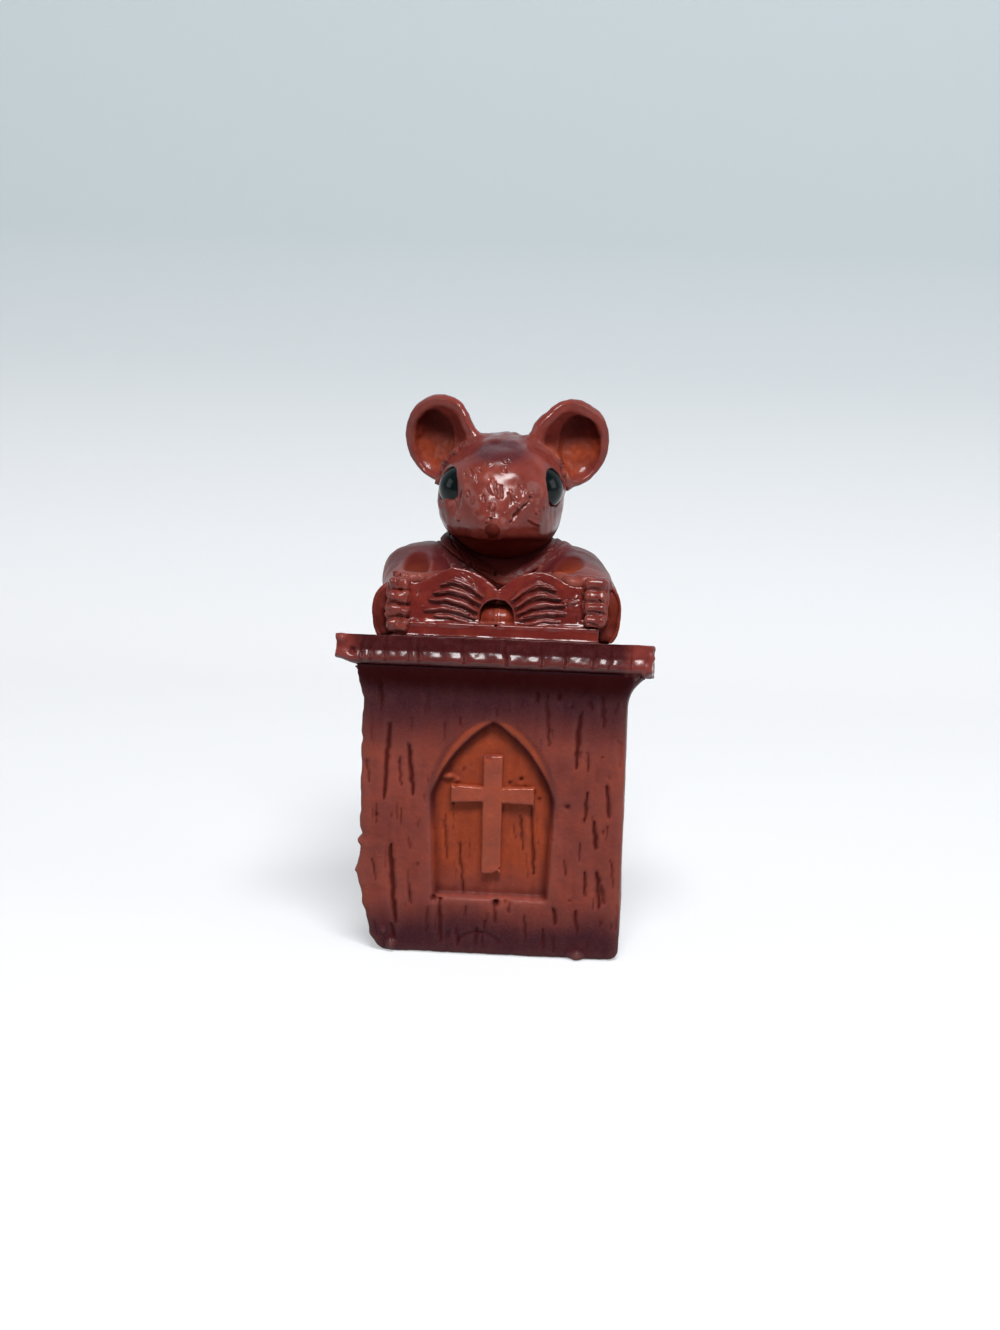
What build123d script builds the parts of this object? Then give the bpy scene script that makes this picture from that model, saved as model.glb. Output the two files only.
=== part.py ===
from build123d import *
from math import atan, cos, degrees, pi, radians, sin, tan
import os

# Cast resin mouse preacher. A robed mouse stands behind a carved pulpit and
# reads from an open book that lies on the pulpit's sloping desk.
# Millimetres and degrees. +Z is up, +X is the viewer's right, and +Y runs from
# the pulpit's front to the mouse's back. The origin is the middle of the
# footprint, on the ground. Lists whose names end in shares hold fractions of
# the named sizes that they follow.

# How far a cutting shape runs past what it cuts
overrun = 2.0

# Pulpit desk, a thick board that slopes down towards the mouse
desk_width = 49.0
desk_thickness = 4.4
desk_front_height = 53.0  # upper front edge, above the ground
desk_slope = 18.0
desk_nose_radius = 1.4
desk_arris_radius = 0.5
desk_groove_width = 0.7
desk_groove_depth = 0.45
desk_groove_shares = [-0.77, -0.68, -0.53, -0.47, -0.19, 0.07, 0.29, 0.44, 0.62, 0.72]

# Pulpit cabinet, the carved block under the desk
desk_side_overhang = 4.0
cabinet_depth = 17.5
desk_overhang = 3.5
cove_reach = 2.8
cove_drop = 5.0
cabinet_worn_corner = 3.4
cabinet_sound_corner = 1.6
cabinet_edge_radius = 0.9

# Pointed niche in the cabinet's front
niche_bottom_width = 18.6
niche_spring_width = 19.8
niche_sill_height = 9.4
niche_side_height = 16.9
niche_arch_height = 12.9
niche_arch_rise = 1.5  # how far each half of the arch bows out
niche_depth = 1.6
niche_bevel = 25.0

# Cross on the niche's floor
cross_height = 19.6
cross_sill_gap = 4.3
cross_span = 13.2
cross_arm_rise = 13.1  # from the cross's foot to its arms' middle
cross_post_width = 3.1
cross_arm_root = 2.5
cross_arm_tip = 2.9
cross_relief = 1.2
cross_chamfer = 0.25

# Open book: two thick boards, two blocks of pages, and a hollow spine
book_length = 16.5
book_setback = 1.0
book_side_margin = 8.8  # from the desk's end to the cover's
cover_thickness = 2.3
cover_hinge_width = 0.7
cover_hinge_depth = 0.5
page_fore_setback = 0.7
page_end_setback = 0.6
page_gutter_height = 5.2
page_crest_height = 8.5
page_edge_height = 6.8
page_rise_shares = (0.18, 0.86)  # a point on the rise, of page width and crest height
page_crest_share = 0.45  # of page width, where the block is highest
page_fall_shares = (0.70, 0.88)  # where the crest's curve turns, as above
spine_radius = 2.6
spine_top_height = 3.9
spine_depth = 3.0
leaf_thickness = 0.55
leaf_relief = 0.45
leaf_rise = 0.55
# Each raised leaf on a block's end: inner and outer point, in shares of page
# width and crest height.
leaf_shares = [
    ((0.21, 0.62), (0.45, 0.92)),
    ((0.25, 0.50), (0.58, 0.76)),
    ((0.29, 0.36), (0.66, 0.56)),
    ((0.25, 0.13), (0.62, 0.18)),
]

# Robe, a tapering shape that leans forward from its hem, with a sloping neck
mouse_offset = 0.6  # the mouse stands this far left of the pulpit's middle
robe_width = 33.0
robe_depth = 21.2
robe_bite = 2.3  # how far the cabinet cuts into the robe's front
robe_end_sides = 14  # flat facets round each end
robe_taper = 3.6
robe_lean = 4.0
shoulder_rise = 5.3  # from the desk's front edge up to the shoulders
neck_height = 5.5
neck_taper = 38.0
# Folds, notches round the back of the hem that run out upwards
fold_width = 2.6
fold_depth = 1.1  # at the hem
fold_height = 30.0
fold_angles = [12, 38, 64, 90]  # round each end of the robe

# Collar, a band that dips to a point on the chest
collar_thickness = 0.9
collar_band = 1.7
collar_point_drop = 6.6  # from the neck's top
collar_slope = 27.5

# Sleeves, round above and hanging below, from the shoulder forward to the cuff
sleeve_radius = 7.0
sleeve_sides = 28
sleeve_inset = 4.5  # from the robe's back to the sleeve's rear end
sleeve_clearance = 3.7  # from the book's side to the sleeve's outermost line
# From the robe's side in to the shoulder's middle
left_shoulder_inset = 4.5
right_shoulder_inset = 8.3
sleeve_hang_share = 1.65  # depth below the arm's line, in radii
# From the neck's top to the shoulder's middle
left_sleeve_drop = 9.3
right_sleeve_drop = 9.9
cuff_drop = 1.0  # from the paw's middle to the cuff's middle
# Distance forward in sleeve lengths, and radius in sleeve radii
sleeve_profile_shares = [
    (0.00, 0.30),
    (0.03, 0.60),
    (0.09, 0.83),
    (0.17, 0.95),
    (0.27, 1.00),
    (0.40, 0.97),
    (0.55, 0.87),
    (0.72, 0.76),
    (0.88, 0.70),
    (1.00, 0.71),
]
cuff_setback = 1.6  # behind the book's front end
cuff_wall = 0.7
cuff_recess = 1.0

# Paws, each a palm with four fingers that hold the book's edge
palm_radius = 1.35
finger_bevel = 0.4
finger_sides = 12
palm_grip = 1.4  # how far the palm wraps on to the book's edge
finger_count = 4
finger_radius = 1.0
finger_length = 1.2
finger_proud = 0.3
left_finger_height = 1.7  # lowest finger, above the desk
left_finger_pitch = 2.1
right_finger_height = 3.4
right_finger_pitch = 1.85

# Head, a ball of a skull behind a tapering face
skull_radius = 10.3
skull_bands = 16  # straight chords that make up its half-round outline
head_sides = 32  # flat facets round the head
head_sink = 3.9  # from the neck's top down to the skull's lowest point
head_forward = 3.8  # from the robe's middle
face_length = 13.6
face_pitch = 10.0  # nose down
face_yaw = 3.4  # nose to the left
# Distance forward in face lengths, and radius in skull radii
face_profile_shares = [
    (0.00, 0.98),
    (0.20, 0.97),
    (0.36, 0.92),
    (0.50, 0.84),
    (0.63, 0.73),
    (0.75, 0.59),
    (0.86, 0.43),
    (0.94, 0.31),
    (1.00, 0.19),
]
jaw_drop = 1.6  # from the snout's middle down to the face's sharp lower margin
jaw_slope = 12.0
nose_radius = 1.25
nose_sides = 12

# Ears, thick round cups that face forwards and outwards
ear_radius = 7.3
# From the skull's middle to an ear's middle
ear_spread = 10.1
ear_rise = 8.4
ear_back = 2.5
ear_turn = 30.0
ear_back_depth = 2.6
ear_lip_depth = 0.9
ear_hollow_radius = 5.4
ear_hollow_breadth_share = 0.73
ear_hollow_depth = 2.7
ear_hollow_shift = 1.3  # outwards
ear_hollow_drop = 0.6
ear_bands = 5  # chords in the outline of the back, and of the hollow
ear_sides = 24

# Eyes, glass beads set in round sockets
eye_radius = 2.9
eye_dome = 1.3
eye_stem = 2.0
eye_bands = 4  # chords in the dome's outline
eye_sides = 20
# From the skull's middle to an eye's middle
eye_spread = 8.5
eye_rise = 2.6
eye_forward = 4.7
eye_turn = 67.0
eye_lift = 8.0

# Tail, wrapped round the hem
tail_root_radius = 1.6
tail_tip_radius = 0.7
tail_bite = 0.3  # how far the tail sinks into the robe's side
tail_sides = 8
# Place along the straight of the robe's back, turn round its end in quarters
# from the side, how far out of the robe the tail has come, and how far the
# tail has thinned from root to tip
tail_station_shares = [
    (-0.55, 1.00, -0.8, 0.00),
    (-0.05, 1.00, 0.6, 0.00),
    (0.50, 1.00, 1.0, 0.00),
    (1.00, 0.80, 1.0, 0.15),
    (1.00, 0.54, 1.0, 0.42),
    (1.00, 0.29, 1.0, 0.70),
    (1.00, 0.05, 1.0, 1.00),
]


def export(part, name):
    """Label a finished piece and write it under its own name."""
    part.label = name
    export_step(part, f"parts/{name}.step")


os.makedirs("parts", exist_ok=True)

# Sizes that follow from the desk's
cabinet_width = desk_width - 2 * desk_side_overhang
cover_width = desk_width - 2 * book_side_margin
shoulder_height = desk_front_height + shoulder_rise

# Directions of the sloping desk, and the planes that everything on it uses
slope_tan = tan(radians(desk_slope))
slope_sin = sin(radians(desk_slope))
slope_cos = cos(radians(desk_slope))
overall_depth = (
    desk_overhang + cabinet_depth - robe_bite + robe_depth + 2 * tail_root_radius - tail_bite
)
front_y = -overall_depth / 2
lip_y = front_y - desk_nose_radius * (slope_cos + slope_sin - 1)
lip_z = desk_front_height - desk_thickness * slope_cos
desk_edge_y = lip_y + desk_thickness * slope_sin
cabinet_front_y = front_y + desk_overhang
cabinet_back_y = cabinet_front_y + cabinet_depth
desk_plane = Plane(
    origin=(0, desk_edge_y, desk_front_height),
    x_dir=(1, 0, 0),
    z_dir=(0, slope_sin, slope_cos),
)
book_end_plane = Plane(
    origin=desk_plane.from_local_coords((0, book_setback, 0)),
    x_dir=(1, 0, 0),
    z_dir=-desk_plane.y_dir,
)
cove_plane = Plane(origin=(0, lip_y, lip_z), x_dir=(1, 0, 0), z_dir=-desk_plane.y_dir)
cabinet_front_plane = Plane(
    origin=(0, cabinet_front_y, 0), x_dir=(1, 0, 0), z_dir=(0, -1, 0)
)


def desk_top_z(y):
    """Height of the desk's upper face at a distance y."""
    return desk_front_height - (y - desk_edge_y) * slope_tan


def desk_under_z(y):
    """Height of the desk's lower face at a distance y."""
    return lip_z - (y - lip_y) * slope_tan


# Desk board: a sloping profile with a rounded nose and sawn grooves
with BuildPart() as pulpit_desk:
    with BuildSketch(Plane.YZ.offset(-desk_width / 2)) as desk_profile:
        Polygon(
            (lip_y, lip_z),
            (cabinet_back_y, desk_under_z(cabinet_back_y)),
            (cabinet_back_y, desk_top_z(cabinet_back_y)),
            (desk_edge_y, desk_front_height),
            align=None,
        )
        nose_corner = desk_profile.vertices().sort_by(Axis.X)[0]
        fillet(nose_corner, desk_nose_radius)
        arris_corner = desk_profile.vertices().sort_by(Axis.Y)[-1]
        fillet(arris_corner, desk_arris_radius)
    extrude(amount=desk_width)
    with BuildSketch(desk_plane.offset(overrun)):
        for share in desk_groove_shares:
            with Locations((share * desk_width / 2, 0)):
                Polygon(
                    (-desk_groove_width / 2, -overrun),
                    (desk_groove_width / 2, -overrun),
                    (desk_groove_width / 2, 0),
                    (0, desk_groove_depth),
                    (-desk_groove_width / 2, 0),
                    align=None,
                )
    extrude(amount=-(desk_thickness + 2 * overrun), mode=Mode.SUBTRACT)
export(pulpit_desk.part, "pulpit_desk")


# Cabinet: a block that meets the sloping desk in coves on three sides
with BuildPart() as pulpit_cabinet:
    with BuildSketch(Plane.XZ.offset(-front_y)):
        with Locations((0, desk_front_height / 2)):
            Rectangle(cabinet_width, desk_front_height)
        lower_left = vertices().group_by(Axis.Y)[0].sort_by(Axis.X)[0]
        fillet(lower_left, cabinet_worn_corner)
        lower_right = vertices().group_by(Axis.Y)[0].sort_by(Axis.X)[-1]
        fillet(lower_right, cabinet_sound_corner)
    extrude(amount=front_y - cabinet_back_y)
    with BuildSketch(cove_plane):
        with BuildLine():
            Line((0, 0), (cabinet_width / 2 + cove_reach, 0))
            TangentArc(
                (cabinet_width / 2, -cove_drop),
                (cabinet_width / 2 + cove_reach, 0),
                tangent=(0, 1),
            )
            Polyline(
                (cabinet_width / 2, -cove_drop),
                (cabinet_width / 2, -2 * cove_drop),
                (0, -2 * cove_drop),
            )
            mirror(about=Plane.YZ)
        make_face()
    extrude(amount=-(cabinet_back_y - front_y) / slope_cos)
    with BuildSketch(Plane.YZ.offset(-desk_width / 2)):
        cove_front_y = cabinet_front_y - cove_reach
        cove_top = desk_under_z(cove_front_y)
        with BuildLine():
            Line((cabinet_front_y, 0), (cabinet_front_y, cove_top - cove_drop))
            TangentArc(
                (cabinet_front_y, cove_top - cove_drop),
                (cove_front_y, cove_top),
                tangent=(0, 1),
            )
            Polyline(
                (cove_front_y, cove_top),
                (cabinet_back_y, desk_under_z(cabinet_back_y)),
                (cabinet_back_y, 0),
                (cabinet_front_y, 0),
            )
        make_face()
    extrude(amount=desk_width, mode=Mode.INTERSECT)
    front_edges = pulpit_cabinet.edges().filter_by(Axis.Z).group_by(Axis.Y)[0]
    fillet(front_edges, cabinet_edge_radius)
    niche_spring_z = niche_sill_height + niche_side_height
    niche_apex_z = niche_spring_z + niche_arch_height
    with BuildSketch(cabinet_front_plane):
        with BuildLine():
            Polyline(
                (0, niche_apex_z),
                (0, niche_sill_height),
                (niche_bottom_width / 2, niche_sill_height),
                (niche_spring_width / 2, niche_spring_z),
            )
            SagittaArc(
                (niche_spring_width / 2, niche_spring_z),
                (0, niche_apex_z),
                -niche_arch_rise,
            )
        make_face()
        mirror(about=Plane.YZ)
    extrude(amount=-niche_depth, taper=niche_bevel, mode=Mode.SUBTRACT)
export(pulpit_cabinet.part, "pulpit_cabinet")

# Cross: a post and two arms that widen towards their tips
cross_foot_z = niche_sill_height + cross_sill_gap
cross_top_z = cross_foot_z + cross_height
cross_arm_z = cross_foot_z + cross_arm_rise
with BuildPart() as niche_cross:
    with BuildSketch(cabinet_front_plane.offset(-niche_depth)):
        with BuildLine():
            Polyline(
                (0, cross_foot_z),
                (cross_post_width / 2, cross_foot_z),
                (cross_post_width / 2, cross_arm_z - cross_arm_root / 2),
                (cross_span / 2, cross_arm_z - cross_arm_tip / 2),
                (cross_span / 2, cross_arm_z + cross_arm_tip / 2),
                (cross_post_width / 2, cross_arm_z + cross_arm_root / 2),
                (cross_post_width / 2, cross_top_z),
                (0, cross_top_z),
            )
            mirror(about=Plane.YZ)
        make_face()
    extrude(amount=cross_relief)
    chamfer(niche_cross.faces().sort_by(Axis.Y)[0].edges(), cross_chamfer)
export(niche_cross.part, "niche_cross")

# Book cover: two thick boards with a hinge groove between them
with BuildPart() as book_cover:
    with BuildSketch(book_end_plane):
        with Locations((0, cover_thickness / 2)):
            Rectangle(cover_width, cover_thickness)
        with Locations((0, cover_thickness)):
            Polygon(
                (-cover_hinge_width / 2, 0),
                (0, -cover_hinge_depth),
                (cover_hinge_width / 2, 0),
                align=None,
                mode=Mode.SUBTRACT,
            )
    extrude(amount=-book_length)
export(book_cover.part, "book_cover")

# Page blocks: an arched stack that falls to the gutter, hollow at the spine,
# with leaves standing out of its front end
page_end_plane = Plane(
    origin=book_end_plane.from_local_coords((0, cover_thickness, -page_end_setback)),
    x_dir=book_end_plane.x_dir,
    z_dir=book_end_plane.z_dir,
)
page_width = cover_width / 2 - page_fore_setback
with BuildPart() as right_pages:
    with BuildSketch(page_end_plane):
        with BuildLine():
            Polyline(
                (0, page_gutter_height),
                (0, 0),
                (page_width, 0),
                (page_width, page_edge_height),
            )
            ThreePointArc(
                (0, page_gutter_height),
                (page_rise_shares[0] * page_width, page_rise_shares[1] * page_crest_height),
                (page_crest_share * page_width, page_crest_height),
            )
            crest = TangentArc(
                (page_crest_share * page_width, page_crest_height),
                (page_fall_shares[0] * page_width, page_fall_shares[1] * page_crest_height),
                tangent=(1, 0),
            )
            TangentArc(crest @ 1, (page_width, page_edge_height), tangent=crest % 1)
        make_face()
    extrude(amount=-(book_length - 2 * page_end_setback))
    with BuildSketch(page_end_plane):
        for inner, outer in leaf_shares:
            start = (inner[0] * page_width, inner[1] * page_crest_height)
            end = (outer[0] * page_width, outer[1] * page_crest_height)
            with BuildLine():
                SagittaArc(start, end, leaf_rise + leaf_thickness / 2)
                SagittaArc(start, end, leaf_rise - leaf_thickness / 2)
            make_face()
    extrude(amount=leaf_relief)
    with BuildSketch(page_end_plane):
        with Locations((0, spine_top_height - spine_radius)):
            Circle(spine_radius)
        with Locations((0, (spine_top_height - spine_radius) / 2)):
            Rectangle(2 * spine_radius, spine_top_height - spine_radius)
    extrude(amount=-spine_depth, mode=Mode.SUBTRACT)
export(right_pages.part, "right_pages")

with BuildPart() as left_pages:
    mirror(right_pages.part, about=Plane.YZ)
export(left_pages.part, "left_pages")


def round_outline(radius, height, bands):
    """Points of a quarter-round outline in straight chords, from rim to pole."""
    angles = [pi / 2 * band / bands for band in range(bands + 1)]
    return [(radius * cos(angle), height * sin(angle)) for angle in angles]


def faceted(rings):
    """A solid with flat facets from ring to ring of points, closed at its ends."""
    facets = []
    for lower, upper in zip(rings, rings[1:]):
        for index in range(len(lower)):
            corners = [lower[index - 1], lower[index], upper[index], upper[index - 1]]
            corners = [
                corner for place, corner in enumerate(corners) if corner != corners[place - 1]
            ]
            facets.append(Face(Wire.make_polygon(corners)))
    for ring in (rings[0], rings[-1]):
        if ring[0] != ring[1]:
            facets.append(Face(Wire.make_polygon(ring)))
    return Solid(Shell(facets))


def turned(plane, outline, sides, breadth=1, hang=1):
    """A faceted solid, turned from radii and heights round a plane's normal.

    Breadth is its share of the round form's width, and hang that of the lower half's depth.
    """
    angles = [2 * pi * side / sides for side in range(sides)]
    spokes = [(breadth * cos(angle), sin(angle) * (hang if angle > pi else 1)) for angle in angles]
    return faceted(
        [
            [plane.from_local_coords(Vector(radius * x, radius * y, height)) for x, y in spokes]
            for radius, height in outline
        ]
    )


# Places of the mouse's body and head, which share one middle plane
mouse_plane = Plane.YZ.offset(-mouse_offset)
robe_centre_y = cabinet_back_y - robe_bite + robe_depth / 2
robe_plane = Plane(
    origin=(-mouse_offset, robe_centre_y, 0),
    x_dir=(1, 0, 0),
    z_dir=(0, -sin(radians(robe_lean)), cos(radians(robe_lean))),
)
robe_end_x = (robe_width - robe_depth) / 2
neck_top_z = robe_plane.from_local_coords((0, 0, shoulder_height + neck_height)).Z
head_centre = Vector(
    -mouse_offset, robe_centre_y - head_forward, neck_top_z - head_sink + skull_radius
)
face_plane = Plane(
    origin=head_centre,
    x_dir=(cos(radians(face_yaw)), -sin(radians(face_yaw)), 0),
    z_dir=(
        -sin(radians(face_yaw)) * cos(radians(face_pitch)),
        -cos(radians(face_yaw)) * cos(radians(face_pitch)),
        -sin(radians(face_pitch)),
    ),
)
snout_tip = face_plane.from_local_coords((0, 0, face_length))

# Eyes: a domed bead on a short stem
eye_plane = Plane(
    origin=head_centre + Vector(eye_spread, -eye_forward, eye_rise),
    z_dir=(
        cos(radians(eye_lift)) * sin(radians(eye_turn)),
        -cos(radians(eye_lift)) * cos(radians(eye_turn)),
        sin(radians(eye_lift)),
    ),
)
eye_outline = round_outline(eye_radius, eye_dome, eye_bands)
with BuildPart() as right_eye:
    add(turned(eye_plane, [(eye_radius, -eye_stem), *eye_outline], eye_sides))
export(right_eye.part, "right_eye")

with BuildPart() as left_eye:
    mirror(right_eye.part, about=mouse_plane)
export(left_eye.part, "left_eye")

# Head: a ball of a skull, and a face that tapers to the snout and ends below
# in a sharp margin over the chin
jaw_plane = Plane(
    origin=snout_tip - Vector(0, 0, jaw_drop),
    x_dir=(1, 0, 0),
    z_dir=(0, sin(radians(jaw_slope)), cos(radians(jaw_slope))),
)
face_outline = [
    (width * skull_radius, forward * face_length) for forward, width in face_profile_shares
]
skull_front = round_outline(skull_radius, skull_radius, skull_bands // 2)
skull_back = [(radius, -forward) for radius, forward in reversed(skull_front)]
with BuildPart() as head:
    add(turned(face_plane, face_outline, head_sides))
    split(bisect_by=jaw_plane, keep=Keep.TOP)
    add(turned(face_plane, skull_back + skull_front[1:], head_sides))
    add([right_eye.part, left_eye.part], mode=Mode.SUBTRACT)
export(head.part, "head")

nose_half = round_outline(nose_radius, nose_radius, eye_bands)
nose_back = [(radius, -forward) for radius, forward in reversed(nose_half)]
with BuildPart() as nose:
    add(turned(face_plane.offset(face_length), nose_back + nose_half[1:], nose_sides))
    add(head.part, mode=Mode.SUBTRACT)
export(nose.part, "nose")

# Ears: thick cups, each with a hollow set towards its outer side
ear_plane = Plane(
    origin=head_centre + Vector(ear_spread, ear_back, ear_rise),
    x_dir=(cos(radians(ear_turn)), sin(radians(ear_turn)), 0),
    z_dir=(sin(radians(ear_turn)), -cos(radians(ear_turn)), 0),
)
ear_hollow_plane = Plane(
    origin=ear_plane.from_local_coords((ear_hollow_shift, -ear_hollow_drop, ear_lip_depth)),
    x_dir=ear_plane.x_dir,
    z_dir=ear_plane.z_dir,
)
ear_back_outline = round_outline(ear_radius, -ear_back_depth, ear_bands)
ear_lip_radius = ear_radius - ear_lip_depth / 2
ear_hollow_outline = round_outline(ear_hollow_radius, -ear_hollow_depth, ear_bands)
ear_hollow = turned(
    ear_hollow_plane, ear_hollow_outline, ear_sides, breadth=ear_hollow_breadth_share
)
with BuildPart() as right_ear:
    add(turned(ear_plane, [(ear_lip_radius, ear_lip_depth), *ear_back_outline], ear_sides))
    add(ear_hollow, mode=Mode.SUBTRACT)
    add([head.part, right_eye.part], mode=Mode.SUBTRACT)
export(right_ear.part, "right_ear")

with BuildPart() as left_ear:
    mirror(right_ear.part, about=mouse_plane)
    add(head.part, mode=Mode.SUBTRACT)
export(left_ear.part, "left_ear")


def robe_ring(radius, height):
    """A ring of points: two half rounds joined by straight sides."""
    turns = [pi * side / robe_end_sides for side in range(robe_end_sides + 1)]
    ends = [(robe_end_x, turn) for turn in turns]
    ends += [(-robe_end_x, turn + pi) for turn in turns]
    return [
        robe_plane.from_local_coords(
            Vector(middle + radius * sin(turn), -radius * cos(turn), height)
        )
        for middle, turn in ends
    ]


def robe_form(growth):
    """The robe's plain tapering shape with its neck, grown on all sides."""
    hem_radius = robe_depth / 2 + growth
    shoulder_radius = hem_radius - shoulder_height * tan(radians(robe_taper))
    neck_radius = shoulder_radius - neck_height * tan(radians(neck_taper))
    return faceted(
        [
            robe_ring(hem_radius + overrun * tan(radians(robe_taper)), -overrun),
            robe_ring(shoulder_radius, shoulder_height),
            robe_ring(neck_radius, shoulder_height + neck_height),
        ]
    )


# Robe: notched round its hem into folds, and cut to fit what it leans against
fold_lean = radians(robe_taper) - atan(fold_depth / fold_height)
fold_mouth = fold_width * (fold_depth + overrun) / fold_depth
with BuildPart() as robe_body:
    add(robe_form(0))
    split(bisect_by=Plane.XY, keep=Keep.TOP)
    for side in (-1, 1):
        for angle in fold_angles:
            out_x = side * cos(radians(angle))
            out_y = sin(radians(angle))
            outwards = robe_plane.x_dir * out_x + robe_plane.y_dir * out_y
            hem_x = side * robe_end_x + robe_depth / 2 * out_x
            fold_plane = Plane(
                origin=robe_plane.from_local_coords((hem_x, robe_depth / 2 * out_y, -overrun)),
                x_dir=outwards,
                z_dir=robe_plane.z_dir * cos(fold_lean) - outwards * sin(fold_lean),
            )
            with BuildSketch(fold_plane):
                Polygon(
                    (-fold_depth, 0),
                    (overrun, -fold_mouth / 2),
                    (overrun, fold_mouth / 2),
                    align=None,
                )
            extrude(amount=fold_height + 2 * overrun, mode=Mode.SUBTRACT)
    add(
        [
            pulpit_cabinet.part,
            pulpit_desk.part,
            book_cover.part,
            left_pages.part,
            right_pages.part,
            head.part,
        ],
        mode=Mode.SUBTRACT,
    )
export(robe_body.part, "robe_body")

# Collar: a raised band on the robe that dips to a point at front and back
collar_rise = robe_width / 2 * tan(radians(collar_slope))
collar_point_z = neck_top_z - collar_point_drop
with BuildPart() as robe_collar:
    add(robe_form(collar_thickness))
    with BuildSketch(Plane.XZ.offset(-robe_centre_y)):
        with BuildLine():
            Polyline(
                (0, collar_point_z),
                (robe_width / 2, collar_point_z + collar_rise),
                (robe_width / 2, collar_point_z + collar_rise + collar_band),
                (0, collar_point_z + collar_band),
            )
            mirror(about=Plane.YZ)
        make_face()
    extrude(amount=robe_depth, both=True, mode=Mode.INTERSECT)
    add([robe_body.part, head.part, left_pages.part, right_pages.part], mode=Mode.SUBTRACT)
export(robe_collar.part, "robe_collar")


# Paws: fingers are short bars with bevelled ends
finger_reach = finger_length / 2 + finger_radius
finger_outline = [
    (finger_radius - finger_bevel, -finger_reach),
    (finger_radius, finger_bevel - finger_reach),
    (finger_radius, finger_reach - finger_bevel),
    (finger_radius - finger_bevel, finger_reach),
]


def paw(side, first_height, pitch):
    """A palm beside the book, and fingers over the front of its edge."""
    palm_x = side * (cover_width / 2 + palm_radius - palm_grip)
    finger_x = palm_x - side * finger_length / 2
    rows = [first_height + row * pitch for row in range(finger_count)]
    with BuildPart() as hand:
        with BuildSketch(book_end_plane.offset(-cuff_setback - cuff_recess)):
            with Locations((palm_x, (rows[0] + rows[-1]) / 2)):
                SlotOverall(rows[-1] - rows[0] + 2 * finger_radius, 2 * palm_radius, rotation=90)
        extrude(amount=cuff_setback + cuff_recess + finger_proud)
        for row in rows:
            finger_middle = book_end_plane.from_local_coords((finger_x, row, finger_proud))
            add(turned(Plane(finger_middle, z_dir=(1, 0, 0)), finger_outline, finger_sides))
        add(
            [pulpit_desk.part, book_cover.part, left_pages.part, right_pages.part],
            mode=Mode.SUBTRACT,
        )
    return hand.part


left_paw = paw(-1, left_finger_height, left_finger_pitch)
right_paw = paw(1, right_finger_height, right_finger_pitch)
export(left_paw, "left_paw")
export(right_paw, "right_paw")


def sleeve(side, hand, first_height, pitch, shoulder_inset, drop):
    """A wide hanging sleeve, with a cuff that the paw comes out of."""
    cuff_plane = book_end_plane.offset(-cuff_setback)
    cuff_height = first_height + (finger_count - 1) * pitch / 2 - cuff_drop
    reach = cover_width / 2 + sleeve_clearance
    cuff_radius = sleeve_profile_shares[-1][1] * sleeve_radius
    cuff_x = side * (reach - cuff_radius)
    cuff_centre = book_end_plane.from_local_coords((cuff_x, cuff_height, 0))
    shoulder = Vector(
        side * (robe_width / 2 - shoulder_inset),
        robe_centre_y + robe_depth / 2 - sleeve_inset,
        neck_top_z - drop,
    )
    along = cuff_centre - shoulder
    outline = [
        (width * sleeve_radius, forward * along.length)
        for forward, width in sleeve_profile_shares
    ]
    arm_plane = Plane(shoulder, x_dir=(1, 0, 0), z_dir=along)
    hollow_plane = Plane(
        cuff_plane.from_local_coords((cuff_x, cuff_height, 0)),
        x_dir=cuff_plane.x_dir,
        z_dir=cuff_plane.z_dir,
    )
    hollow_radius = cuff_radius - cuff_wall
    hollow_outline = [(hollow_radius, -cuff_recess), (hollow_radius, overrun)]
    with BuildPart() as arm:
        add(turned(arm_plane, outline, sleeve_sides, hang=sleeve_hang_share))
        split(bisect_by=cuff_plane, keep=Keep.BOTTOM)
        cuff_hollow = turned(hollow_plane, hollow_outline, sleeve_sides, hang=sleeve_hang_share)
        add(cuff_hollow, mode=Mode.SUBTRACT)
        add(
            [
                pulpit_cabinet.part,
                pulpit_desk.part,
                book_cover.part,
                left_pages.part,
                right_pages.part,
                robe_body.part,
                robe_collar.part,
                head.part,
                hand,
            ],
            mode=Mode.SUBTRACT,
        )
    return arm.part


left_sleeve = sleeve(
    -1, left_paw, left_finger_height, left_finger_pitch, left_shoulder_inset, left_sleeve_drop
)
right_sleeve = sleeve(
    1, right_paw, right_finger_height, right_finger_pitch, right_shoulder_inset, right_sleeve_drop
)
export(left_sleeve, "left_sleeve")
export(right_sleeve, "right_sleeve")

# Tail: a tapering tube that comes out of the robe's back and follows the hem
with BuildPart() as tail:
    for along, turn, out, thinning in tail_station_shares:
        radius = tail_root_radius + thinning * (tail_tip_radius - tail_root_radius)
        stand_off = robe_depth / 2 + out * (radius - tail_bite)
        angle = pi / 2 * turn
        section = Plane(
            origin=(
                along * robe_end_x + stand_off * cos(angle) - mouse_offset,
                stand_off * sin(angle) + robe_centre_y,
                radius,
            ),
            x_dir=(0, 0, 1),
            z_dir=(sin(angle), -cos(angle), 0),
        )
        with BuildSketch(section):
            RegularPolygon(
                radius, tail_sides, major_radius=False, rotation=degrees(pi / tail_sides)
            )
    loft(ruled=True)
    add(robe_body.part, mode=Mode.SUBTRACT)
export(tail.part, "tail")
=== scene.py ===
import itertools
from math import cos, radians, sin

import bmesh
import bpy
import numpy as np
from mathutils import Matrix, Vector
from mathutils.bvhtree import BVHTree


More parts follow.
